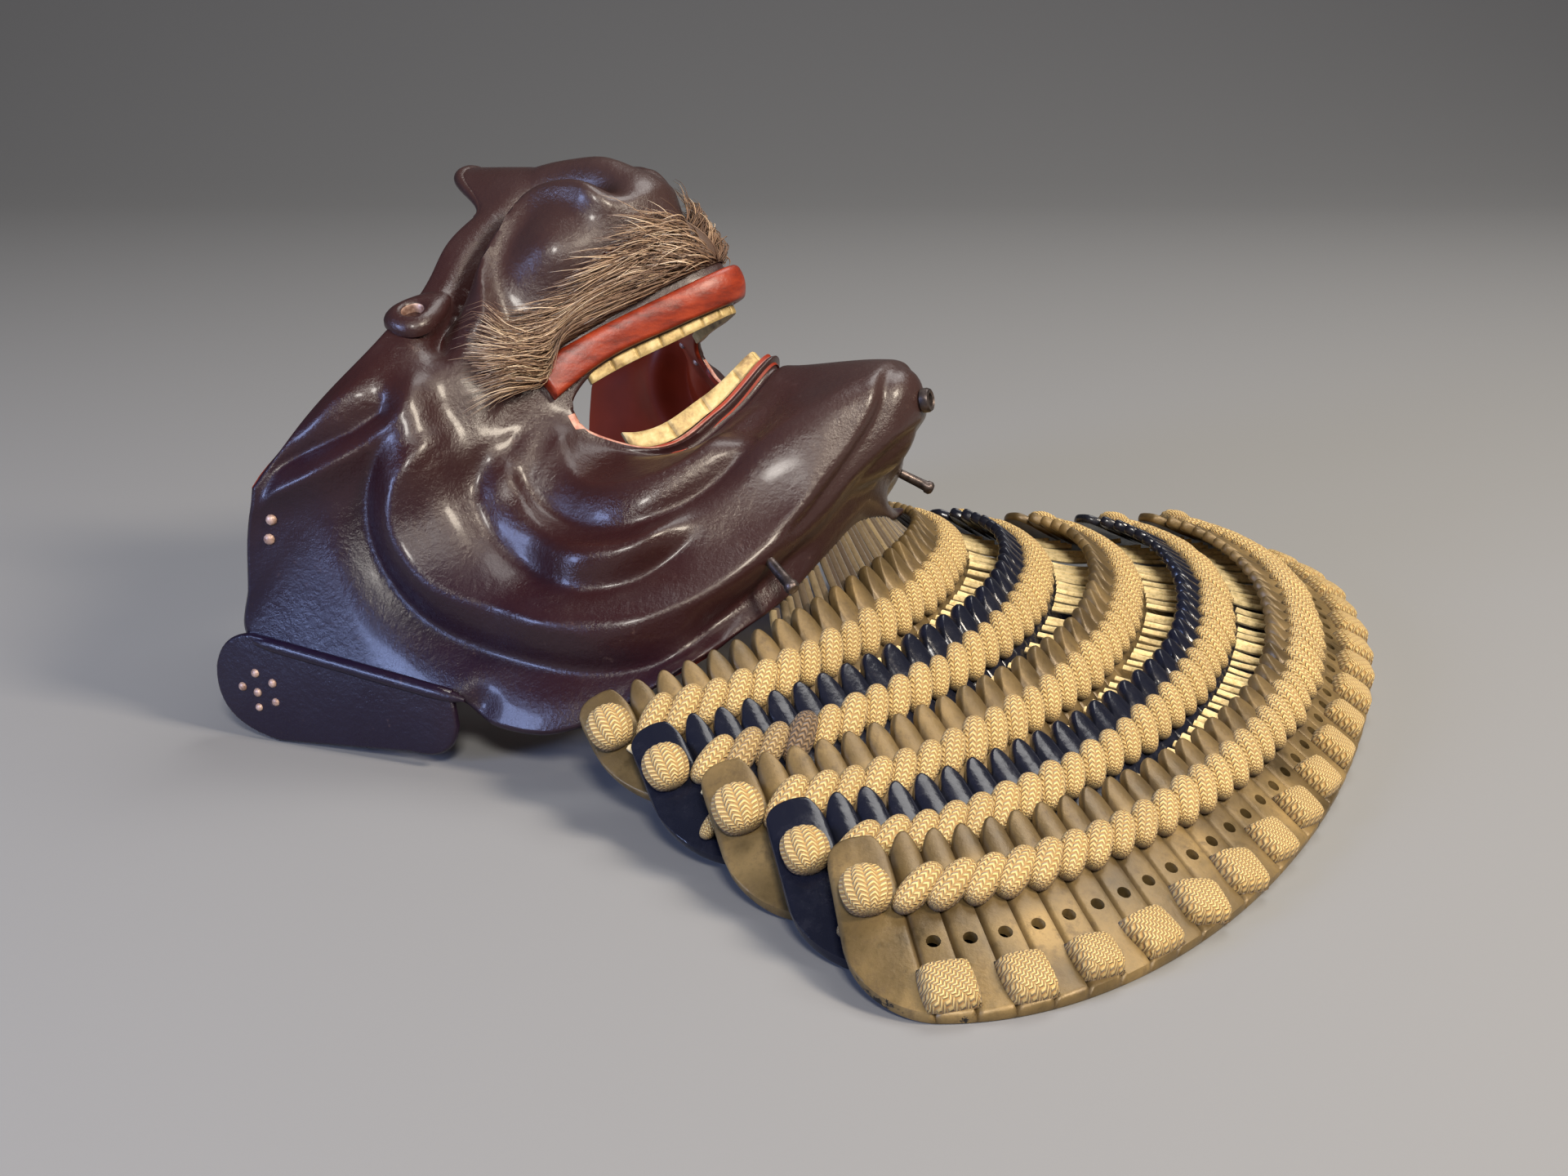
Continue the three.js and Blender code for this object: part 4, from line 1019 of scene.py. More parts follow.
def build_shell(form, looks):
    """The hammered shell with its mouth left open, its flanges joined on and its holes cut."""
    columns, rows = shell_grid()
    share, flat_place = np.meshgrid(columns, rows, indexing="ij")
    place = rounded_mouth(share, flat_place)
    corner = ACROSS["corner"]
    here = form.skin(share, place)
    gap = lambda s, p: np.linalg.norm(here - form.skin(s, p), axis=-1)
    mouth_share = clamp(share, -corner, corner)
    mouth_row = np.where(flat_place <= 6.0, 6.0, np.where(flat_place >= 7.0, 7.0, flat_place))
    edge = np.minimum.reduce([
        gap(share, np.zeros_like(place)), gap(share, np.full_like(place, BOTTOM)),
        gap(np.sign(share + 1e-9), place), gap(mouth_share, rounded_mouth(mouth_share, mouth_row)),
    ])
    sink = rounded(edge, EDGE_ROUND)
    skin_normal = form.normal(form.skin, share, place, SKIN_STEP)
    hammered = form.hammered(share, place)
    outer = hammered - skin_normal * sink[..., None]
    inward = form.normal(form.hammered, share, place, FOLD_STEP)
    inner = hammered - inward * (form.wall - sink)[..., None]
    middle_share = (share[1:, 1:] + share[:-1, :-1]) / 2
    middle_row = (flat_place[1:, 1:] + flat_place[:-1, :-1]) / 2
    filled = ~((np.abs(middle_share) < corner) & (middle_row > UPPER_LIP) & (middle_row < LOWER_LIP))
    rim = (np.abs(middle_share) < corner + 0.02) & (middle_row > 6.3) & (middle_row < 7.1)
    faces, face_looks = wall_faces(len(columns), len(rows), filled, np.where(rim, 2, 0), 1, 0)
    points = form.world(np.concatenate([outer.reshape(-1, 3), inner.reshape(-1, 3)]))
    shell = new_piece("mask", points, faces, looks, face_looks)
    for side in (-1, 1):
        boolean(shell, flange_plate(form, side, looks[0]), "UNION")
        boolean(shell, nostril_cutter(form, side, looks[0]), "DIFFERENCE")
    boolean(shell, drain_cutter(form, looks[0]), "DIFFERENCE")
    tidy_mesh(shell.data, SHELL_SHARP, 2e-6)
    return shell


def turned_ball(name, centre, axis, size, look):
    """A ball with its Z along an axis, sized along its own three ways, in metres."""
    work = bmesh.new()
    bmesh.ops.create_icosphere(work, subdivisions=4, radius=1)
    turn = Vector((0, 0, 1)).rotation_difference(Vector(axis)).to_matrix().to_4x4()
    place = Matrix.Translation(Vector(centre)) @ turn @ Matrix.Diagonal((*size, 1))
    bmesh.ops.transform(work, matrix=place, verts=work.verts)
    mesh = bpy.data.meshes.new(name)
    work.to_mesh(mesh)
    work.free()
    mesh.materials.append(look)
    ball = bpy.data.objects.new(name, mesh)
    bpy.context.scene.collection.objects.link(ball)
    return ball


def nostril_cutter(form, side, look):
    share = np.array(side * NOSTRIL_SHARE)
    centre = form.world(form.hammered(share, NOSTRIL_PLACE))
    axis = form.direction(form.normal(form.skin, share, NOSTRIL_PLACE, SKIN_STEP))
    return turned_ball("nostril", centre, axis, NOSTRIL_SIZE, look)


def lathe(name, profile, centre, axis, look, sides):
    """A closed profile (radius, height) in metres turned about an axis."""
    angle = np.arange(sides) / sides * 2 * math.pi
    ring = np.stack([np.cos(angle), np.sin(angle)], -1)
    points = np.concatenate([
        np.stack([ring[:, 0] * r, ring[:, 1] * r, np.full(sides, z)], -1) for r, z in profile])
    turn = np.array(Vector((0, 0, 1)).rotation_difference(Vector(axis)).to_matrix())
    points = points @ turn.T + np.array(centre)
    faces = []
    for i in range(len(profile)):
        faces += ring_faces(i * sides, (i + 1) % len(profile) * sides, sides)
    return new_piece(name, points, faces, [look])


def drain_cutter(form, look):
    share = np.array(0.0)
    axis = form.direction(form.normal(form.skin, share, DRAIN_PLACE, SKIN_STEP))
    centre = form.world(form.hammered(share, DRAIN_PLACE))
    return turned_ball("bore", centre, axis, DRAIN_SIZE, look)


# A flange's top edge by its two ends, in hundredths of depth and height.
FLANGE_FRONT = (-82.5, 36)
FLANGE_REAR = (-107, 82)
FLANGE_OUTSIDE = 1.2
FLANGE_INSIDE = 0.8
FLANGE_EASE = 0.0007


def flange_frame(form):
    """The front of a flange's top edge, the way along it, the way down from it, and its length."""
    front = np.array(FLANGE_FRONT, float) * (form.depth, form.height) / 100
    rear = np.array(FLANGE_REAR, float) * (form.depth, form.height) / 100
    along = rear - front
    length = np.linalg.norm(along)
    along /= length
    return front, along, np.array([-along[1], along[0]]), length


def flange_plate(form, side, look):
    """A flat flange. A corner of three points is rounded, and each point is along and down."""
    front, along, down, length = flange_frame(form)
    corners = [
        [(1, -1.5)], [(-1, 6), (-1, 14.6), (9, 14.6)],
        [(length - 10, 21.3), (length + 7, 21.3), (length + 7, 8)],
        [(length + 7, 8), (length + 6, 0), (length - 2, -1.5)],
    ]
    line = []
    for corner in corners:
        if len(corner) == 1:
            line.append(corner[0])
            continue
        a, b, c = (np.array(p, float) for p in corner)
        for t in np.linspace(0, 1, 13):
            line.append(tuple((1 - t) ** 2 * a + 2 * t * (1 - t) * b + t * t * c))
    outline = []
    for p in line:
        if not outline or np.hypot(p[0] - outline[-1][0], p[1] - outline[-1][1]) > 0.05:
            outline.append(p)
    work = bmesh.new()
    outer = (form.half + FLANGE_OUTSIDE) * side
    inner = (form.half - FLANGE_INSIDE) * side
    rings = []
    for x in (outer, inner):
        ring = []
        for s, t in outline:
            forward, up = front + along * s + down * t
            ring.append(work.verts.new(Vector(form.world(np.array([x, -forward, up])))))
        rings.append(ring)
    work.faces.new(rings[0])
    work.faces.new(rings[1][::-1])
    for i in range(len(outline)):
        j = (i + 1) % len(outline)
        work.faces.new((rings[0][j], rings[0][i], rings[1][i], rings[1][j]))
    bmesh.ops.recalc_face_normals(work, faces=work.faces)
    rim = [edge for edge in work.edges if any(len(face.verts) > 4 for face in edge.link_faces)]
    bmesh.ops.bevel(work, geom=rim, offset=FLANGE_EASE, segments=4, affect="EDGES", profile=0.5)
    bmesh.ops.triangulate(work, faces=work.faces)
    mesh = bpy.data.meshes.new("flange")
    work.to_mesh(mesh)
    work.free()
    mesh.materials.append(look)
    plate = bpy.data.objects.new("flange", mesh)
    bpy.context.scene.collection.objects.link(plate)
    return plate


def flange_beads(form, look):
    """The rolled fold along the top of each flange."""
    front, along, _, length = flange_frame(form)
    paths = []
    for side in (-1, 1):
        path = []
        for s in np.linspace(-2, length - 1, 24):
            forward, up = front + along * s
            path.append(form.world(np.array([side * (form.half + 0.35), -forward, up])))
        paths.append(path)
    taper = np.sqrt(clamp(1 - np.abs(np.linspace(-1, 1, 24)) ** 8, 0.05, 1))
    mesh = path_mesh("beads", np.array(paths), taper, 0)
    return grow("flange_folds", mesh, strand_tree(),
                {"Material": look, "Radius": 0.0016, "Flatness": 1.0, "Sides": 16})


def tab_roll(form, look):
    """The rolled edge that makes the tab over the nose blunt."""
    share = np.linspace(-0.21, 0.21, 41)
    edge = form.offset(share, np.full(41, 0.03), np.full(41, -form.wall / 2))
    taper = 0.55 + 0.45 * np.exp(-((share * form.half / form.tab_half) ** 4))
    mesh = path_mesh("tab roll", form.world(edge)[None], taper, 0)
    return grow("tab_roll", mesh, strand_tree(),
                {"Material": look, "Radius": 0.0015, "Flatness": 1.0, "Sides": 16})


def build_lip(form, look):
    """The flat band over the mouth, with square ends and eased edges."""
    half, top, bottom = LIP_HALF, LIP_TOP, LIP_BOTTOM
    share_line = np.concatenate([[-half, -half + 0.004, -half + 0.009, -half + 0.016],
                                 np.linspace(-half + 0.03, half - 0.03, 120),
                                 [half - 0.016, half - 0.009, half - 0.004, half]])
    rows = steps((top, top + 0.1, 6), (top + 0.1, bottom - 0.1, 10), (bottom - 0.1, bottom, 6))
    share, row = np.meshgrid(share_line, rows, indexing="ij")
    here = form.skin(share, row)
    gap = lambda s, r: np.linalg.norm(here - form.skin(s, r), axis=-1)
    edge = np.minimum.reduce([gap(share, np.full_like(row, top)), gap(share, np.full_like(row, bottom)),
                              gap(np.sign(share + 1e-9) * half, row)])
    across = (2 * row - top - bottom) / (bottom - top)
    crown = form.lip * (0.86 + 0.14 * (1 - across**2)) - rounded(edge, LIP_ROUND)
    outer = form.offset(share, row, crown)
    inner = form.offset(share, row, np.full_like(row, 0.4))
    return solid_band("upper_lip_band", form, outer, inner, look)


def build_teeth(form, name, row, look):
    """A strip of teeth, each crowned and set off from the next by a groove."""
    count, half_span, upper, lower, sink, depth = row
    share_line = np.linspace(-half_span, half_span, count * 20 + 1)
    rows = np.linspace(upper, lower, 9)
    share, place = np.meshgrid(share_line, rows, indexing="ij")
    within = ((share + half_span) / (2 * half_span) * count) % 1
    tooth = 1 - np.abs(2 * within - 1) ** 12
    across = 1 - np.abs(2 * (place - upper) / (lower - upper) - 1) ** 6
    face = -sink + depth * tooth * (0.5 + 0.5 * across)
    outer = form.offset(share, place, face)
    inner = form.offset(share, place, np.full_like(place, -sink - TEETH_THICKNESS))
    return solid_band(name, form, outer, inner, look)


def build_hair_pad(form, look):
    """The hide that the moustache grows from, hidden under the hair."""
    share_line = np.linspace(-HAIR_HALF, HAIR_HALF, 90)
    top, bottom = HAIR_TOP, HAIR_TOP + HAIR_DEPTH
    rows = np.linspace(top, bottom, 14)
    share, place = np.meshgrid(share_line, rows, indexing="ij")
    across = (2 * place - top - bottom) / (bottom - top)
    rise = (0.6 + 1.2 * (1 - across**2)) * np.sqrt(clamp(1 - (share / (HAIR_HALF + 0.005)) ** 6, 0.02, 1))
    outer = form.offset(share, place, rise)
    inner = form.offset(share, place, np.full_like(place, 0.3))
    pad = solid_band("moustache_pad", form, outer, inner, look)
    mark_points(pad.data, "tone", np.full(len(pad.data.vertices), 0.1))
    return pad


def build_moustache(form, count, radius, look):
    """Short hairs over the lip that lean outward in clumps, and fan over the cheeks."""
    random = np.random.default_rng(7)
    side = np.where(random.random(count) < 0.5, -1, 1)
    root = HAIR_HALF * random.random(count) ** 0.8
    level = random.random(count)
    place = HAIR_TOP + HAIR_DEPTH * level
    clump = (root / HAIR_HALF * HAIR_CLUMPS).astype(int) + HAIR_CLUMPS * (level * 4).astype(int)
    clumps = HAIR_CLUMPS * 5 + 5
    lean = random.normal(0, 1, clumps)[clump]
    pull = random.random(clumps)[clump]
    outside = clamp((root - 0.1) / 0.33, 0, 1)
    fan = clamp(0.55 * level + 0.45 * random.random(count) + 0.08 * lean, 0, 1)
    long = outside**1.25 * (0.62 + 0.28 * random.random(count) + 0.14 * pull)
    near_share = root + 0.08 + 0.06 * random.random(count)
    near_place = place - 0.2 - 0.55 * random.random(count) * (1.2 - level)
    stop = near_share + (0.53 + 0.2 * fan - near_share) * long
    highest = np.where(side > 0, 2.6, 1.2)
    tip_place = near_place + (highest + (3.9 - highest) * fan - near_place) * long
    tip_place += 0.1 * lean + random.normal(0, 0.14, count)
    stop += random.normal(0, 0.02, count)
    t = np.linspace(0, 1, HAIR_POINTS)[None, :]
    share = (root[:, None] + (stop - root)[:, None] * t) * side[:, None]
    rows = place[:, None] + (tip_place - place)[:, None] * t**1.2
    lift = random.random(count)[:, None]
    ragged = random.normal(0, 0.9, (count, 1)) + 0.5 * lean[:, None]
    far = np.where(side > 0, 4.5, 0.0)[:, None]
    height = 0.8 + (2.4 + (2.4 + far) * outside[:, None]) * lift * t
    height = height + 1.8 * np.sin(math.pi * t) * (0.4 + lift)
    height = np.maximum(height + ragged * t**2, 0.4)
    paths = form.world(form.offset(share, rows, height))
    thickness = (1 - 0.8 * t**1.4) * (0.7 + 0.6 * random.random(count))[:, None]
    shade_of_hair = random.random(count)[:, None] ** 1.5
    tone = clamp(0.06 + 0.42 * shade_of_hair + 0.6 * t * (0.35 + 0.65 * lift) * (0.5 + shade_of_hair), 0, 1)
    mesh = path_mesh("hairs", paths, thickness, tone)
    return grow("moustache_hairs", mesh, strand_tree(),
                {"Material": look, "Radius": radius, "Flatness": 1.0, "Sides": 3}, 180)


def build_eyelets(form, looks):
    """A drop-shaped lug with a cord hole at each end of the moustache."""
    groups, faces, marks = [], [], []
    sides = 48
    angle = np.arange(sides) / sides * 2 * math.pi
    # From the bore (0) out to the rim (1), and the height there in millimetres.
    profile = [(0, -1.4), (0, 0.9), (0.05, 1.35), (0.16, 1.75), (0.32, 1.85), (0.55, 1.6), (0.78, 1.0),
               (0.92, 0.35), (1, -0.4), (1, -1.4)]
    bore = np.stack([np.cos(angle) * 2.4 - 1, np.sin(angle) * 2.0], -1)
    reach = 8.6 + 1.6 * np.cos(angle)
    outline = np.stack([np.cos(angle) * reach, np.sin(angle) * 5.4 * (1 - 0.22 * np.cos(angle))], -1)
    for index, side in enumerate((-1, 1)):
        share, place = np.array(side * LUG_PLACE[0]), np.array(LUG_PLACE[1])
        out = form.normal(form.skin, share, place, SKIN_STEP)
        ahead = form.hammered(share * 0.8, place + 0.2) - form.hammered(share, place)
        ahead = unit(ahead - out * (ahead @ out))
        over = np.cross(out, ahead)
        seat = form.offset(share, place, np.array(0.6))
        for blend, rise in profile:
            flat = bore + (outline - bore) * blend
            groups.append(seat + flat[:, :1] * ahead + flat[:, 1:] * over + rise * out)
        base = index * len(profile) * sides
        for i in range(len(profile)):
            j = (i + 1) % len(profile)
            faces += ring_faces(base + i * sides, base + j * sides, sides)
            marks += [1 if i in (0, 1) else 0] * sides
    points = form.world(np.concatenate(groups))
    return new_piece("cord_lugs", points, faces, looks, marks, 60)


def build_pegs(form, look):
    """The two iron cord pegs under the jaw, each with the node that it replaces."""
    profile = [(0.0001, -0.001), (0.0011, -0.001), (0.0012, 0.004), (0.0013, 0.0062), (0.0016, 0.0066),
               (0.0016, 0.0076), (0.0012, 0.0081), (0.0001, 0.0082)]
    pegs = []
    for side, word in ((-1, "right"), (1, "left")):
        share, place = np.array(side * PEG_PLACE[0]), PEG_PLACE[1]
        seat = form.world(form.offset(share, place, np.array(1.1)))
        way = form.direction(np.array([side * PEG_WAY[0], *PEG_WAY[1:]]))
        peg = lathe(f"chin_peg_{word}_iron", profile, seat, way, look, 24)
        pegs.append((peg, f"chin_peg_{word}"))
    return pegs


def build_drain(form, look):
    """The iron ring round the sweat hole in the chin."""
    profile = [(0.0015, 0.0), (0.0027, 0.0), (0.0027, 0.0012), (0.0024, 0.0018), (0.0019, 0.002),
               (0.0015, 0.0017)]
    share = np.array(0.0)
    seat = form.world(form.offset(share, DRAIN_PLACE, np.array(0.1)))
    way = form.direction(form.normal(form.skin, share, DRAIN_PLACE, SKIN_STEP))
    return lathe("drain_ring", profile, seat, way, look, 32)


FLANGE_RIVETS = [
    # forward, up, size
    (-111.7, 75.7, 1.0), (-116.6, 76.6, 1.0), (-115.1, 73.0, 1.0),
    (-110.6, 71.2, 1.0), (-117.8, 71.0, 0.9), (-113.8, 68.4, 0.9),
]
REAR_RIVETS = [
    # share, place, size
    (0.97, 1.3, 1.2), (0.975, 1.62, 1.2),
]
INSIDE_RIVETS = [
    # share, place, size
    (0.52, 5.5, 0.9), (0.53, 6.1, 0.9),
]
RIVET_SEAT = 1.15


def build_rivets(form, look, head):
    """Rivet heads on the flanges, behind the cheeks and inside the mask."""
    points, way, stretch = [], [], []
    for side in (-1, 1):
        for forward, up, size in FLANGE_RIVETS:
            points.append(form.world(np.array([side * (form.half + RIVET_SEAT), -forward, up])))
            way.append(np.array([side, 0, 0]))
            stretch.append([size] * 3)
        for share, place, size in REAR_RIVETS:
            s, p = np.array(side * share), np.array(place)
            points.append(form.world(form.hammered(s, p)))
            way.append(form.direction(form.normal(form.skin, s, p, SKIN_STEP)))
            stretch.append([size] * 3)
        for share, place, size in INSIDE_RIVETS:
            s, p = np.array(side * share), np.array(place)
            inward = form.normal(form.hammered, s, p, FOLD_STEP)
            points.append(form.world(form.hammered(s, p) - inward * form.wall))
            way.append(-form.direction(inward))
            stretch.append([size] * 3)
    points, way = np.array(points), np.array(way)
    outward = unit(np.cross(way, [0.3, 0.2, 1.0]))
    mesh = point_mesh("rivet places", points, way, outward, stretch, np.zeros(len(points)))
    return grow("rivet_heads", mesh, scatter_tree(), {"Shape": head, "Material": look, "Size": 1.0})


def helper_shape(name, points, faces, uv=None, turned=None):
    """A mesh that a node tree repeats. It is removed once it has been used."""
    piece = new_piece(name, points, faces, [], uv=uv)
    # turned stores painted shade on each point: the side turned back towards the lame is darker.
    if turned is not None:
        mark_points(piece.data, "turned", turned(np.array([v.co for v in piece.data.vertices])))
    piece.hide_render = True
    return piece


def rivet_head():
    """A low round head, from its skirt up to its crown."""
    rings = [(0.0010, -0.0004), (0.0010, 0.0002), (0.0008, 0.0005), (0.00045, 0.0007)]
    sides = 10
    angle = np.arange(sides) / sides * 2 * math.pi
    points = [(r * math.cos(a), r * math.sin(a), z) for r, z in rings for a in angle]
    points += [(0, 0, 0.00075), (0, 0, -0.0004)]
    faces = []
    for i in range(len(rings) - 1):
        faces += ring_faces(i * sides, (i + 1) * sides, sides)
    last = (len(rings) - 1) * sides
    top, low = last + sides, last + sides + 1
    for k in range(sides):
        n = (k + 1) % sides
        faces.append((last + k, last + n, top))
        faces.append((n, k, low))
    return helper_shape("rivet shape", points, faces)


# Pieces of the throat guard
# Heights on a lame, as shares of its slant: the braided row and the lace holes.
LACING_PLACE = 0.66
HOLE_PLACE = 0.39
HOLE_RADIUS = 1.25
# Black lames have a small second knot low on each end plate.
TIED_LOW = ("second_lame", "fourth_lame")
LOW_TIE_DROP = 0.42
LOW_TIE_SIZE = 0.65
SCALE_COLUMNS = 12
# Stitches of the braided silk round and along one loop.
BRAID_COLUMNS = 11
BRAID_STITCHES = 14
# Half length, half width and half thickness of a loop and of an end knot, in metres.
LOOP_SIZE = (0.006, 0.0027, 0.0023)
KNOT_SIZE = (0.0047, 0.0045, 0.0032)
KNOT_PLEATS = 11
# Half height, half width and thickness of a crossed knot, how deep its back is sunk, and the height
# over which painted shade darkens its sides, in metres.
BLOCK_SIZE = (0.0045, 0.0048, 0.0028)
BLOCK_BACK = 0.0004
BLOCK_TURN = 0.0022
BLOCK_CELLS = 10
# The end plates: how many scales wide, where their rounded end starts, and its drop in millimetres.
PLATE = 2
PLATE_TIP = 1.5
PLATE_SHOULDER = 7.5
# A scale's head: where its tip stands, where its foot ends, and how deep its joints are, in millimetres.
TIP_SHARE = 0.56
FOOT_END = 0.6
JOINT_WIDTH = 0.35
JOINT_DEPTH = 0.55
SCALE_ROUND = 0.8
# How far the middle heads of the top lame stand up behind the jaw.
NECK_RISE = 2.2
JAW_CORDS = 36


def head_rise(local, tip):
    """0 in the notch beside a scale and 1 at the tip of its head."""
    left = clamp(local / tip, 0, 1)
    right = clamp((1 - local) / (1 - tip), 0, 1)
    return np.minimum(np.sin(left * math.pi / 2) ** 0.85, np.sin(right * math.pi / 2) ** 0.85)


def build_lame(lame, head, look):
    """A lame of upright scales with pointed heads between two plain end plates."""
    random = np.random.default_rng(11 + lame.count)
    tips = TIP_SHARE + random.normal(0, 0.035, lame.count)
    tall = 1 + random.normal(0, 0.05, lame.count)
    proud = random.normal(0, 0.12, lame.count)
    columns = np.linspace(0, lame.count, lame.count * SCALE_COLUMNS + 1)
    rows = steps((0, 0.05, 3), (0.05, 0.5, 6), (0.5, 0.74, 5), (0.74, 0.96, 9), (0.96, 1, 4))
    scale, row = np.meshgrid(columns, rows, indexing="ij")
    share = lame.scale_share(scale)
    slant = lame.slant(share)
    foot = lame.foot_rise(share)
    index = np.clip(scale.astype(int), 0, lame.count - 1)
    local = np.where(scale >= lame.count, 1.0, scale - index)
    width = lame.length / lame.count

    from_end = np.minimum(scale, lame.count - scale)
    plate = from_end < PLATE
    from_tip = clamp((PLATE_TIP - from_end) / PLATE_TIP, 0, 1)
    shoulder = PLATE_SHOULDER * (1 - np.sqrt(1 - from_tip**2))
    drop = head * (1 - head_rise(local, tips[index])) * tall[index]
    drop = np.where(from_end < PLATE_TIP, shoulder, drop)
    if lame.name == "top_lame":
        middle = np.exp(-(((share - 0.5) / 0.28) ** 2))
        drop = drop - NECK_RISE * middle * (local > 0) * head_rise(local, tips[index])
    top = 1 - drop / slant
    below = foot + (FOOT_END - foot) * row / FOOT_END
    above = FOOT_END + (top - FOOT_END) * (row - FOOT_END) / (1 - FOOT_END)
    height = np.where(row < FOOT_END, below, above)

    side = np.minimum(local, 1 - local) * width
    side = np.where(plate & (from_end < PLATE_TIP), 9.0, side)
    upper = smooth(clamp((height - 0.56) / 0.16, 0, 1))
    dome = np.sqrt(clamp(1 - (1 - clamp(side / (width / 2), 0, 1)) ** 2, 0, 1)) * np.where(plate, 0.55, 1)
    joint = np.exp(-((side / JOINT_WIDTH) ** 2))
    overlap = (local - 0.5) * 0.5 * np.where(plate, 0, 1)
    edge_end = np.minimum(share, 1 - share) * lame.length
    edge = np.minimum.reduce([(top - height) * slant, (height - foot) * slant, edge_end])
    sink = rounded(edge, SCALE_ROUND)
    swell = dome * (0.25 + (1.15 + proud[index]) * upper) + overlap * (1 - upper)
    face = lame.thick / 2 + swell - JOINT_DEPTH * joint * (1 - upper) - sink - 0.2
    outer = lame.offset(share, height, face)
    behind = -lame.thick / 2 + 0.6 * dome * upper + rounded((top - height) * slant, SCALE_ROUND)
    inner = lame.offset(share, height, behind)
    piece = solid_band(f"{lame.name}_scales", lame, outer, inner, look, 50)
    corner = np.exp(-((from_end / 3) ** 2))
    worn = np.exp(-((height - foot) * slant / 1.6)) * (0.35 + 0.65 * corner)
    # Darker heads of the scales.
    crowned = 0.4 * smooth(clamp((height - 0.74) / 0.1, 0, 1))
    # Painted shade under the braided row of laces.
    laced = 0.45 * np.exp(-(((height - LACING_PLACE + 0.14) / 0.06) ** 2))
    # Painted shade in the joints between scales, summed with the darker heads and the shade under the laces.
    grime = clamp(0.8 * np.exp(-((side / 0.5) ** 2)) + crowned + laced * np.where(plate, 0, 1), 0, 1)
    mark_points(piece.data, "worn", np.tile(worn.ravel(), 2))
    mark_points(piece.data, "grime", np.tile(grime.ravel(), 2))
    return piece


def drill_holes(piece, lame, place, radius, look):
    """Lace holes through a lame, one to each scale."""
    points, faces = [], []
    sides = 14
    angle = np.arange(sides) / sides * 2 * math.pi
    for scale in range(PLATE, lame.count - PLATE):
        share = np.array(lame.scale_share(scale + 0.5))
        seat = lame.at(share, np.array(place))
        out, along = lame.normal(share, place), lame.along(share, place)
        over = np.cross(out, along)
        base = len(points)
        for depth in (-3, 4):
            for a in angle:
                rim = radius * (along * math.cos(a) + over * math.sin(a))
                points.append(lame.world(seat + out * depth + rim))
        faces += ring_faces(base, base + sides, sides)
        faces.append(tuple(base + k for k in range(sides))[::-1])
        faces.append(tuple(base + sides + k for k in range(sides)))
    cutter = new_piece("lace holes", points, faces, [look])
    boolean(piece, cutter, "DIFFERENCE")
    tidy_mesh(piece.data, 50, 1e-6)


def lump_shape(name, size, pleats):
    """One loop of a braided lace: a fat drop with columns of stitches along it."""
    half_length, half_width, half_thick = size
    sides, rings = (36, 17) if pleats else (18, 13)
    points, faces, uv = [], [], []
    for i in range(rings):
        t = i / (rings - 1)
        turn = math.pi * (t - 0.5)
        body = max(math.cos(turn), 0.08) ** 0.6
        for k in range(sides + 1):
            a = k / sides * 2 * math.pi
            fold = 1 - 0.13 * abs(math.cos(a * pleats / 2)) ** 3 if pleats else 1
            points.append((math.cos(a) * half_thick * body * fold, math.sin(a) * half_width * body * fold,
                           math.sin(turn) * half_length))
            uv.append((k / sides * BRAID_COLUMNS, t * BRAID_STITCHES))
    for i in range(rings - 1):
        for k in range(sides):
            a = i * (sides + 1) + k
            faces.append((a, a + 1, a + sides + 2, a + sides + 1))
    low, high = len(points), len(points) + 1
    points += [(0, 0, -half_length * 1.01), (0, 0, half_length * 1.01)]
    uv += [(0, 0), (0, BRAID_STITCHES)]
    for k in range(sides):
        faces.append((k + 1, k, low))
        a = (rings - 1) * (sides + 1) + k
        faces.append((a, a + 1, high))
    # Painted shade: the back of the loop, turned towards the lame, is darkened.
    turned = lambda p: clamp(0.7 - 1.1 * p[:, 0] / half_thick, 0, 1)
    return helper_shape(name, points, faces, uv, turned)


def block_shape():
    """A square pad of crossed laces."""
    cells = BLOCK_CELLS
    half_height, half_width, thick = BLOCK_SIZE
    points, faces, uv = [], [], []
    for side in (0, 1):
        for i in range(cells + 1):
            for j in range(cells + 1):
                y, z = i / cells * 2 - 1, j / cells * 2 - 1
                crown = max(0, (1 - abs(y) ** 5) * (1 - abs(z) ** 5)) ** 0.5
                pinch = 1 - 0.10 * (y * y * z * z)
                out = crown * thick if side == 0 else -BLOCK_BACK
                points.append((out, y * half_width * pinch, z * half_height * pinch))
                uv.append(((y + z) * 2.4, (y - z) * 5))
    step = cells + 1
    base = step * step
    for i in range(cells):
        for j in range(cells):
            a = i * step + j
            faces.append((a, a + step, a + step + 1, a + 1))
            faces.append((base + a, base + a + 1, base + a + step + 1, base + a + step))
    for i in range(cells):
        faces.append((i, i + 1, base + i + 1, base + i))
        a = cells * step + i
        faces.append((a + 1, a, base + a, base + a + 1))
        b = i * step
        faces.append((b + step, b, base + b, base + b + step))
        c = i * step + cells
        faces.append((c, c + step, base + c + step, base + c))
    # Painted shade: the back of the block, turned towards the lame, is darkened.
    turned = lambda p: clamp(0.7 - p[:, 0] / BLOCK_TURN, 0, 1)
    return helper_shape("block shape", points, faces, uv, turned)


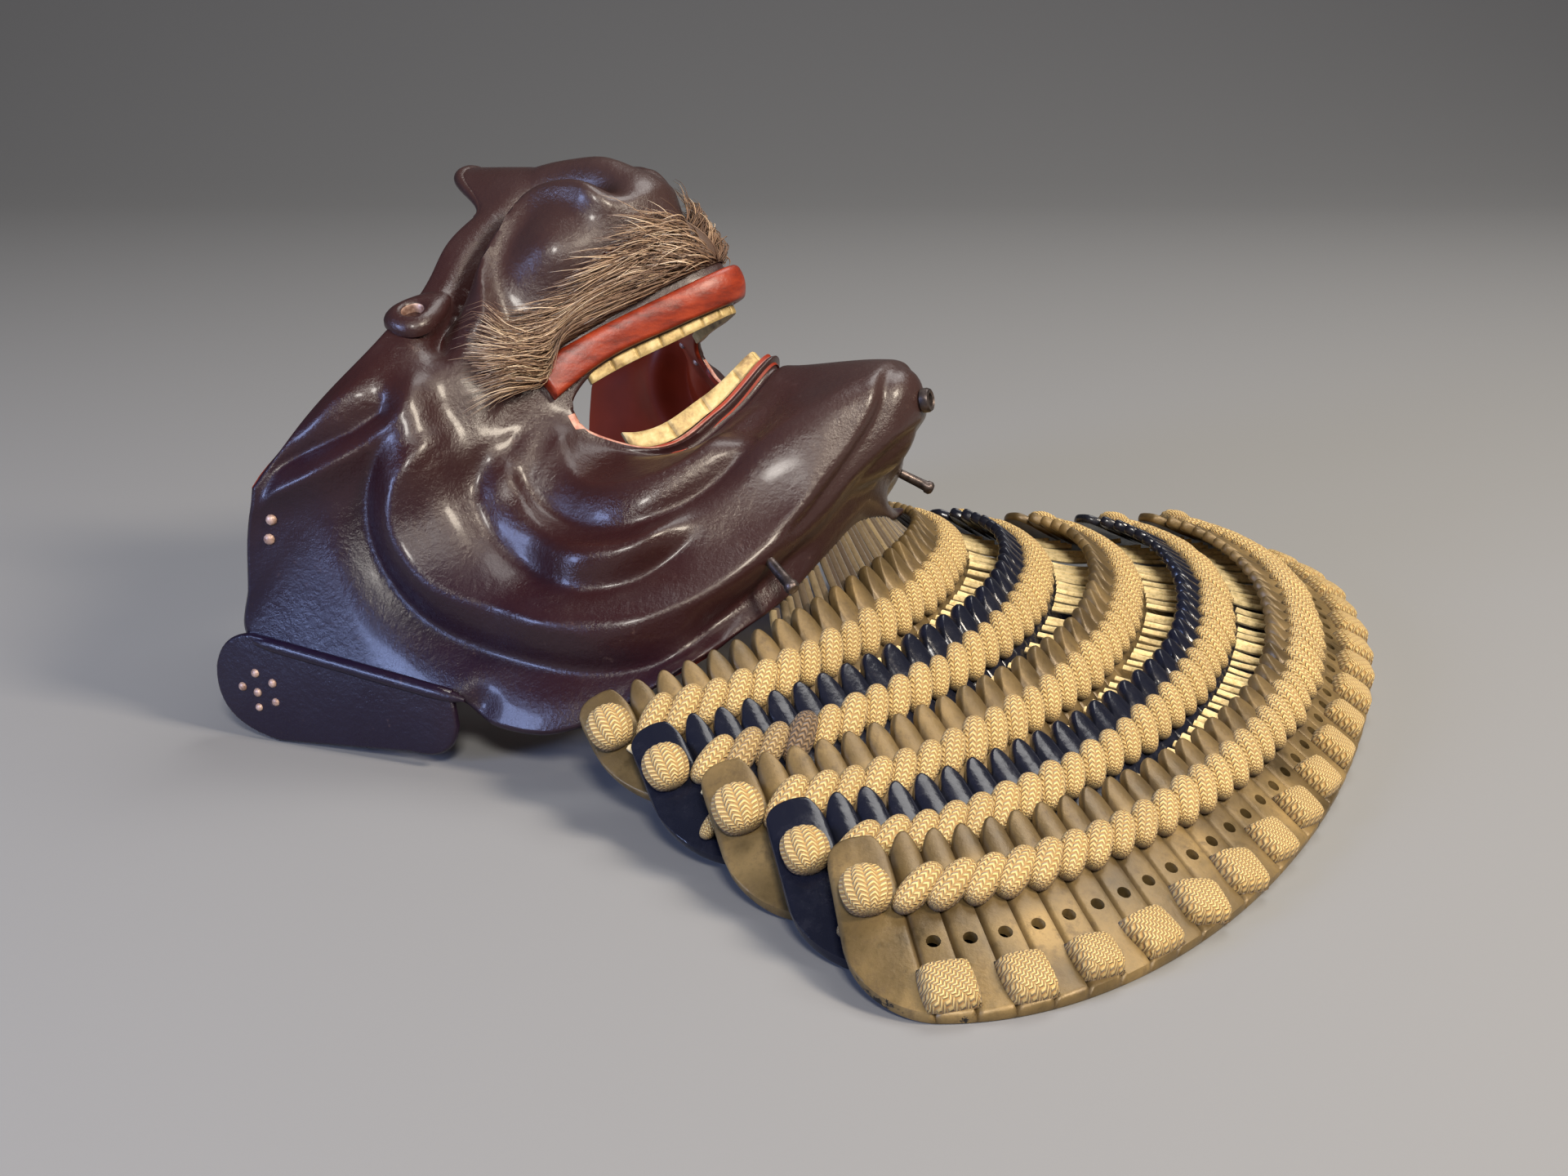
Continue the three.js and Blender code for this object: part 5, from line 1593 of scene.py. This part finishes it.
def build_lacing(lame, lump, ball, look):
    """The braided row across a lame, and the round knot at each of its ends."""
    random = np.random.default_rng(5 + lame.count)
    scales = np.arange(PLATE, lame.count - PLATE) + 0.5
    ends = np.array([1.0, lame.count - 1.0])
    low_ends = np.array([1.7, lame.count - 1.7]) if lame.name in TIED_LOW else np.array([])
    share = lame.scale_share(np.concatenate([scales, ends, low_ends]))
    big = np.concatenate([np.zeros(len(scales)), np.ones(2), np.zeros(len(low_ends))])
    low = np.concatenate([np.zeros(len(scales) + 2), np.ones(len(low_ends))])
    place = LACING_PLACE - 0.02 * big - LOW_TIE_DROP * low
    seat = lame.offset(share, place, lame.thick / 2 + 1.2 + 0.5 * big)
    up, along = lame.upward(share), lame.along(share, place)
    slant = (1.05 + random.normal(0, 0.07, len(share))) * (1 - big)
    way = unit(up + along * slant[:, None])
    outward = lame.normal(share, place)
    outward = unit(outward - along * 0.42 * (1 - big[:, None]))
    stretch = np.ones((len(share), 3))
    stretch = stretch * (1 + random.normal(0, 0.04, (len(share), 1))) * (1 - (1 - LOW_TIE_SIZE) * low[:, None])
    tone = clamp(random.normal(0.02, 0.03, len(share)), 0, 0.1)
    if lame.name == "second_lame":
        # The second lame has a few loops that were laced again with darker silk.
        tone[1:4] = 0.35, 0.5, 0.9
    made = []
    for name, shape, chosen in (("braid", lump, big == 0), ("end_knots", ball, big == 1)):
        mesh = point_mesh(name, lame.world(seat)[chosen], way[chosen], outward[chosen], stretch[chosen],
                          tone[chosen])
        made.append(grow(f"{lame.name}_{name}", mesh, scatter_tree(),
                         {"Shape": shape, "Material": look, "Size": 1.0}))
    return made


def build_blocks(lame, block, look, count):
    """The crossed knots along the foot of the lowest lame."""
    step = (lame.count - 2 * KNOT_INSET) / (count - 1)
    share = lame.scale_share(KNOT_INSET + step * np.arange(count))
    height = (KNOT_RISE + 3.8) / lame.slant(share)
    seat = lame.offset(share, height, lame.thick / 2 + 0.15)
    random = np.random.default_rng(2)
    way = unit(lame.upward(share) + lame.along(share, height) * random.normal(0, 0.09, (count, 1)))
    stretch = 1 + random.normal(0, 0.05, (count, 3))
    mesh = point_mesh("blocks", lame.world(seat), way, lame.normal(share, height), stretch, np.zeros(count))
    return grow("foot_blocks", mesh, scatter_tree(), {"Shape": block, "Material": look, "Size": 1.0})


def hanging(start, end, sag):
    """Paths between two rows of points, sagging in the middle."""
    t = np.linspace(0, 1, 7)[None, :, None]
    drop = np.array([0, 0, 1.0]) * np.sin(math.pi * t) * sag
    return start[:, None] + (end - start)[:, None] * t - drop


def build_cords(name, upper, lower, width, look):
    """The laces from one lame's face to the back of the next one below."""
    random = np.random.default_rng(upper.count)
    scale = np.arange(1, upper.count * 2 - 1) / 2 + 0.25 + random.normal(0, 0.07, upper.count * 2 - 2)
    share = upper.scale_share(scale)
    share = share[(share > 0.035) & (share < 0.965) & (random.random(len(share)) < 0.86)]
    n = len(share)
    sway = random.normal(0, 0.0022, n)
    start = upper.offset(share, np.full(n, 0.46), np.full(n, upper.thick / 2 + 1.0))
    end = lower.offset(share + sway, np.full(n, 0.70), np.full(n, -lower.thick / 2 - 0.9))
    paths = hanging(start, end, 0.4 + 0.5 * random.random((n, 1, 1)))
    tone = clamp(random.normal(0.03, 0.05, (n, 1)), 0, 0.3)
    mesh = path_mesh(name, upper.world(paths), 1 + 0.1 * random.normal(0, 1, (n, 1)), tone)
    return grow(name, mesh, strand_tree(),
                {"Material": look, "Radius": width / 2, "Flatness": 0.8, "Sides": 8})


def build_jaw_cords(form, lame, width, look):
    """The laces that hang the top lame from the lower edge of the mask."""
    random = np.random.default_rng(3)
    n = JAW_CORDS
    share = np.linspace(0.23, 0.77, n) + random.normal(0, 0.002, n)
    inside = form.world(form.offset(2 * share - 1, np.full(n, float(BOTTOM)), np.full(n, -1.0))) / MM
    start = inside + form.direction(np.array([0, 0, -0.6]))
    end = lame.world(lame.offset(share, np.full(n, 0.66), np.full(n, -lame.thick / 2 - 1.0))) / MM
    paths = hanging(start, end, 0.8)
    # Painted shadow: these laces are made nearly black, as they lie in the shadow under the jaw.
    tone = clamp(random.normal(0.94, 0.05, (n, 1)), 0, 1)
    mesh = path_mesh("jaw laces", paths * MM, np.ones((n, 1)), tone)
    return grow("jaw_cords", mesh, strand_tree(),
                {"Material": look, "Radius": width / 2, "Flatness": 0.8, "Sides": 8})


# Operators
def forms(context):
    """The mask and the lames from the sizes in the sidebar."""
    scene = context.scene
    shift = guard_shift(scene.face_guard_lames)
    lames = [LameForm(row, scene.face_guard_lames, shift) for row in LAMES]
    mask = MaskForm(scene.face_guard_mask)
    mask.hang(lames[0])
    return mask, lames


class FACEGUARD_OT_mask(bpy.types.Operator):
    """Hammered mask shell with its flanges, folds and lugs"""

    bl_idname = "face_guard.mask"
    bl_label = "Mask shell"

    def execute(self, context):
        form, _ = forms(context)
        colours = context.scene.face_guard_colours
        lacquer = mask_lacquer(tuple(colours.lacquer))
        shell = build_shell(form, [lacquer, inside_lacquer(tuple(colours.red)), rim_lacquer()])
        finish_piece(shell, ["mask_shell"])
        finish_piece(flange_beads(form, lacquer), [])
        finish_piece(tab_roll(form, lacquer), [])
        iron = browned_iron()
        lugs = build_eyelets(form, [lacquer, rubbed_rivet()])
        finish_piece(lugs, ["cord_eyelet_right", "cord_eyelet_left"])
        for peg, node in build_pegs(form, iron):
            finish_piece(peg, [node])
        finish_piece(build_drain(form, iron), ["chin_drain_tube"])
        head = rivet_head()
        finish_piece(build_rivets(form, rubbed_rivet(), head), [])
        bpy.data.objects.remove(head)
        return {"FINISHED"}


class FACEGUARD_OT_mouth(bpy.types.Operator):
    """Vermilion lip band and the gold teeth"""

    bl_idname = "face_guard.mouth"
    bl_label = "Lip and teeth"

    def execute(self, context):
        form, _ = forms(context)
        gold = tooth_gold()
        lip = build_lip(form, lip_lacquer(tuple(context.scene.face_guard_colours.red)))
        finish_piece(lip, ["upper_lip"])
        upper = build_teeth(form, "upper_tooth_strip", UPPER_TEETH, gold)
        finish_piece(upper, ["upper_teeth"])
        lower = build_teeth(form, "lower_tooth_strip", LOWER_TEETH, gold)
        finish_piece(lower, ["lower_teeth"])
        return {"FINISHED"}


class FACEGUARD_OT_moustache(bpy.types.Operator):
    """Hair moustache that sweeps out over the cheeks"""

    bl_idname = "face_guard.moustache"
    bl_label = "Moustache"

    def execute(self, context):
        form, _ = forms(context)
        sizes = context.scene.face_guard_mask
        look = bristle()
        hairs = build_moustache(form, sizes.hairs, sizes.hair_radius, look)
        finish_piece(hairs, ["moustache"])
        finish_piece(build_hair_pad(form, look), [])
        return {"FINISHED"}


class FACEGUARD_OT_lames(bpy.types.Operator):
    """Five lames of lacquered scales"""

    bl_idname = "face_guard.lames"
    bl_label = "Lames"

    def execute(self, context):
        _, lames = forms(context)
        scene = context.scene
        head = scene.face_guard_lames.head / MM
        gold = worn_gold(tuple(scene.face_guard_colours.gold))
        black = black_lame(tuple(scene.face_guard_colours.black))
        for index, lame in enumerate(lames):
            piece = build_lame(lame, head, gold if index % 2 == 0 else black)
            if index == len(lames) - 1:
                drill_holes(piece, lame, HOLE_PLACE, HOLE_RADIUS, black)
            finish_piece(piece, [lame.name])
        return {"FINISHED"}


class FACEGUARD_OT_lacing(bpy.types.Operator):
    """Braided rows, crossed blocks and the laces between the lames"""

    bl_idname = "face_guard.lacing"
    bl_label = "Lacing"

    def execute(self, context):
        form, lames = forms(context)
        scene = context.scene
        width = scene.face_guard_lames.cord
        braid = braided_silk(tuple(scene.face_guard_colours.lacing))
        cord = plain_silk(tuple(scene.face_guard_colours.lacing))
        lump = lump_shape("lump shape", LOOP_SIZE, 0)
        ball = lump_shape("ball shape", KNOT_SIZE, KNOT_PLEATS)
        block = block_shape()
        for lame in lames:
            row, ends = build_lacing(lame, lump, ball, braid)
            finish_piece(row, [f"{lame.name}_lacing"])
            finish_piece(ends, [])
        for upper, lower in zip(lames, lames[1:]):
            cords = build_cords(f"cords_below_{upper.name}", upper, lower, width, cord)
            finish_piece(cords, [f"laces_below_{upper.name}"])
        finish_piece(build_jaw_cords(form, lames[0], width, cord), ["jaw_lacing"])
        knots = sorted(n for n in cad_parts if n.startswith("foot_knot_"))
        finish_piece(build_blocks(lames[-1], block, braid, len(knots)), knots)
        for shape in (lump, ball, block):
            bpy.data.objects.remove(shape)
        return {"FINISHED"}


def area_light(name, place, aim, size, power, color):
    """A square soft light at a place, turned towards the point it aims at."""
    data = bpy.data.lights.new(name, "AREA")
    data.shape = "SQUARE"
    data.size = size
    data.energy = power
    data.color = color
    light = bpy.data.objects.new(name, data)
    light.location = place
    light.rotation_euler = (Vector(aim) - Vector(place)).to_track_quat("-Z", "Y").to_euler()
    bpy.context.scene.collection.objects.link(light)


# The way the camera looks over the floor. The floor sweeps up into a backdrop, in metres.
VIEW_HEADING = (0.9236, 0.3834)
BACKDROP_FROM = 1.0
BACKDROP_CURVE = 1.2
BELOW_PART = 0.0002
FLOOR_GREY = (0.24, 0.24, 0.24)
LIGHTS = [
    # name, place, aim, width, watts, colour
    ("sky", (0.55, -0.25, 1.15), (0, 0, 0.05), 0.7, 9, (1, 0.98, 0.95)),
    ("window", (-0.85, 0.5, 0.3), (0, 0.03, 0.05), 0.28, 7, (0.42, 0.55, 1.0)),
    ("lamp", (-0.15, -0.85, 0.75), (0, -0.02, 0.04), 0.24, 12, (1.0, 0.88, 0.72)),
    ("front", (-0.95, -0.5, 0.8), (0, 0, 0.05), 0.22, 12, (1.0, 0.95, 0.88)),
]
ROOM_COLOUR = (0.62, 0.64, 0.70, 1)
ROOM_STRENGTH = 0.16
# The camera's right, up and backward ways in the world, its place before the guard's shift, and lens.
CAMERA_WAYS = ((0.3835, -0.9235, 0.0), (0.2755, 0.1144, 0.9545), (-0.8815, -0.3660, 0.2983))
CAMERA_PLACE = (-0.4, -0.03946, 0.15722)
LENS = 45
FILM_WIDTH = 36


class FACEGUARD_OT_stage(bpy.types.Operator):
    """Pale floor, soft lights and the camera"""

    bl_idname = "face_guard.stage"
    bl_label = "Stage"

    def execute(self, context):
        scene = context.scene
        stage = scene.face_guard_stage
        half = stage.floor / 2
        paper = Finish("Pale floor", FLOOR_GREY, roughness=0.95)
        paper.bump(paper.noise(300, 3, 0.5), 0.0002, 0.1)
        sweep = [(-half, 0), (BACKDROP_FROM, 0)]
        for angle in np.linspace(0, math.pi / 2, 17)[1:]:
            sweep.append((BACKDROP_FROM + BACKDROP_CURVE * math.sin(angle),
                          BACKDROP_CURVE * (1 - math.cos(angle))))
        sweep.append((BACKDROP_FROM + BACKDROP_CURVE, half))
        away = np.array(VIEW_HEADING)
        aside = np.array([-away[1], away[0]])
        points = [(*(away * d + aside * side * half), z - BELOW_PART) for d, z in sweep for side in (-1, 1)]
        faces = [(2 * i, 2 * i + 1, 2 * i + 3, 2 * i + 2) for i in range(len(sweep) - 1)]
        floor = new_piece("floor", points, faces, [paper.material])
        for name, place, aim, width, watts, color in LIGHTS:
            area_light(name, place, aim, width, watts * stage.power, color)
        world = bpy.data.worlds.new("Room")
        world.use_nodes = True
        world.node_tree.nodes["Background"].inputs["Color"].default_value = ROOM_COLOUR
        world.node_tree.nodes["Background"].inputs["Strength"].default_value = ROOM_STRENGTH
        scene.world = world
        scene.view_settings.view_transform = "Standard"
        lens = bpy.data.cameras.new("camera")
        lens.lens, lens.sensor_width = LENS, FILM_WIDTH
        lens.dof.use_dof = False
        camera = bpy.data.objects.new("camera", lens)
        shift = guard_shift(scene.face_guard_lames) * MM
        turn = Matrix(CAMERA_WAYS).transposed().to_4x4()
        camera.matrix_world = Matrix.Translation(Vector(CAMERA_PLACE) + Vector((0, *shift[1:]))) @ turn
        scene.collection.objects.link(camera)
        scene.camera = camera
        return {"FINISHED"}


PIECES = ("mask", "mouth", "moustache", "lames", "lacing", "stage")


class FACEGUARD_PT_panel(bpy.types.Panel):
    bl_label = "Face guard"
    bl_idname = "FACEGUARD_PT_panel"
    bl_space_type = "VIEW_3D"
    bl_region_type = "UI"
    bl_category = "Face guard"

    def draw(self, context):
        for group in ("mask", "lames", "colours", "stage"):
            box = self.layout.box()
            holder = getattr(context.scene, f"face_guard_{group}")
            for name in holder.bl_rna.properties.keys():
                if name not in ("rna_type", "name"):
                    box.prop(holder, name)
        for name in PIECES:
            self.layout.operator(f"face_guard.{name}")


CLASSES = (
    FaceGuardMaskSizes, FaceGuardLameSizes, FaceGuardColours, FaceGuardStage,
    FACEGUARD_OT_mask, FACEGUARD_OT_mouth, FACEGUARD_OT_moustache, FACEGUARD_OT_lames,
    FACEGUARD_OT_lacing, FACEGUARD_OT_stage, FACEGUARD_PT_panel,
)


def register():
    for cls in CLASSES:
        bpy.utils.register_class(cls)
    bpy.types.Scene.face_guard_mask = PointerProperty(type=FaceGuardMaskSizes)
    bpy.types.Scene.face_guard_lames = PointerProperty(type=FaceGuardLameSizes)
    bpy.types.Scene.face_guard_colours = PointerProperty(type=FaceGuardColours)
    bpy.types.Scene.face_guard_stage = PointerProperty(type=FaceGuardStage)


def unregister():
    for name in ("mask", "lames", "colours", "stage"):
        delattr(bpy.types.Scene, f"face_guard_{name}")
    for cls in reversed(CLASSES):
        bpy.utils.unregister_class(cls)


def main():
    register()
    for name in PIECES:
        getattr(bpy.ops.face_guard, name)()


if __name__ == "__main__":
    main()
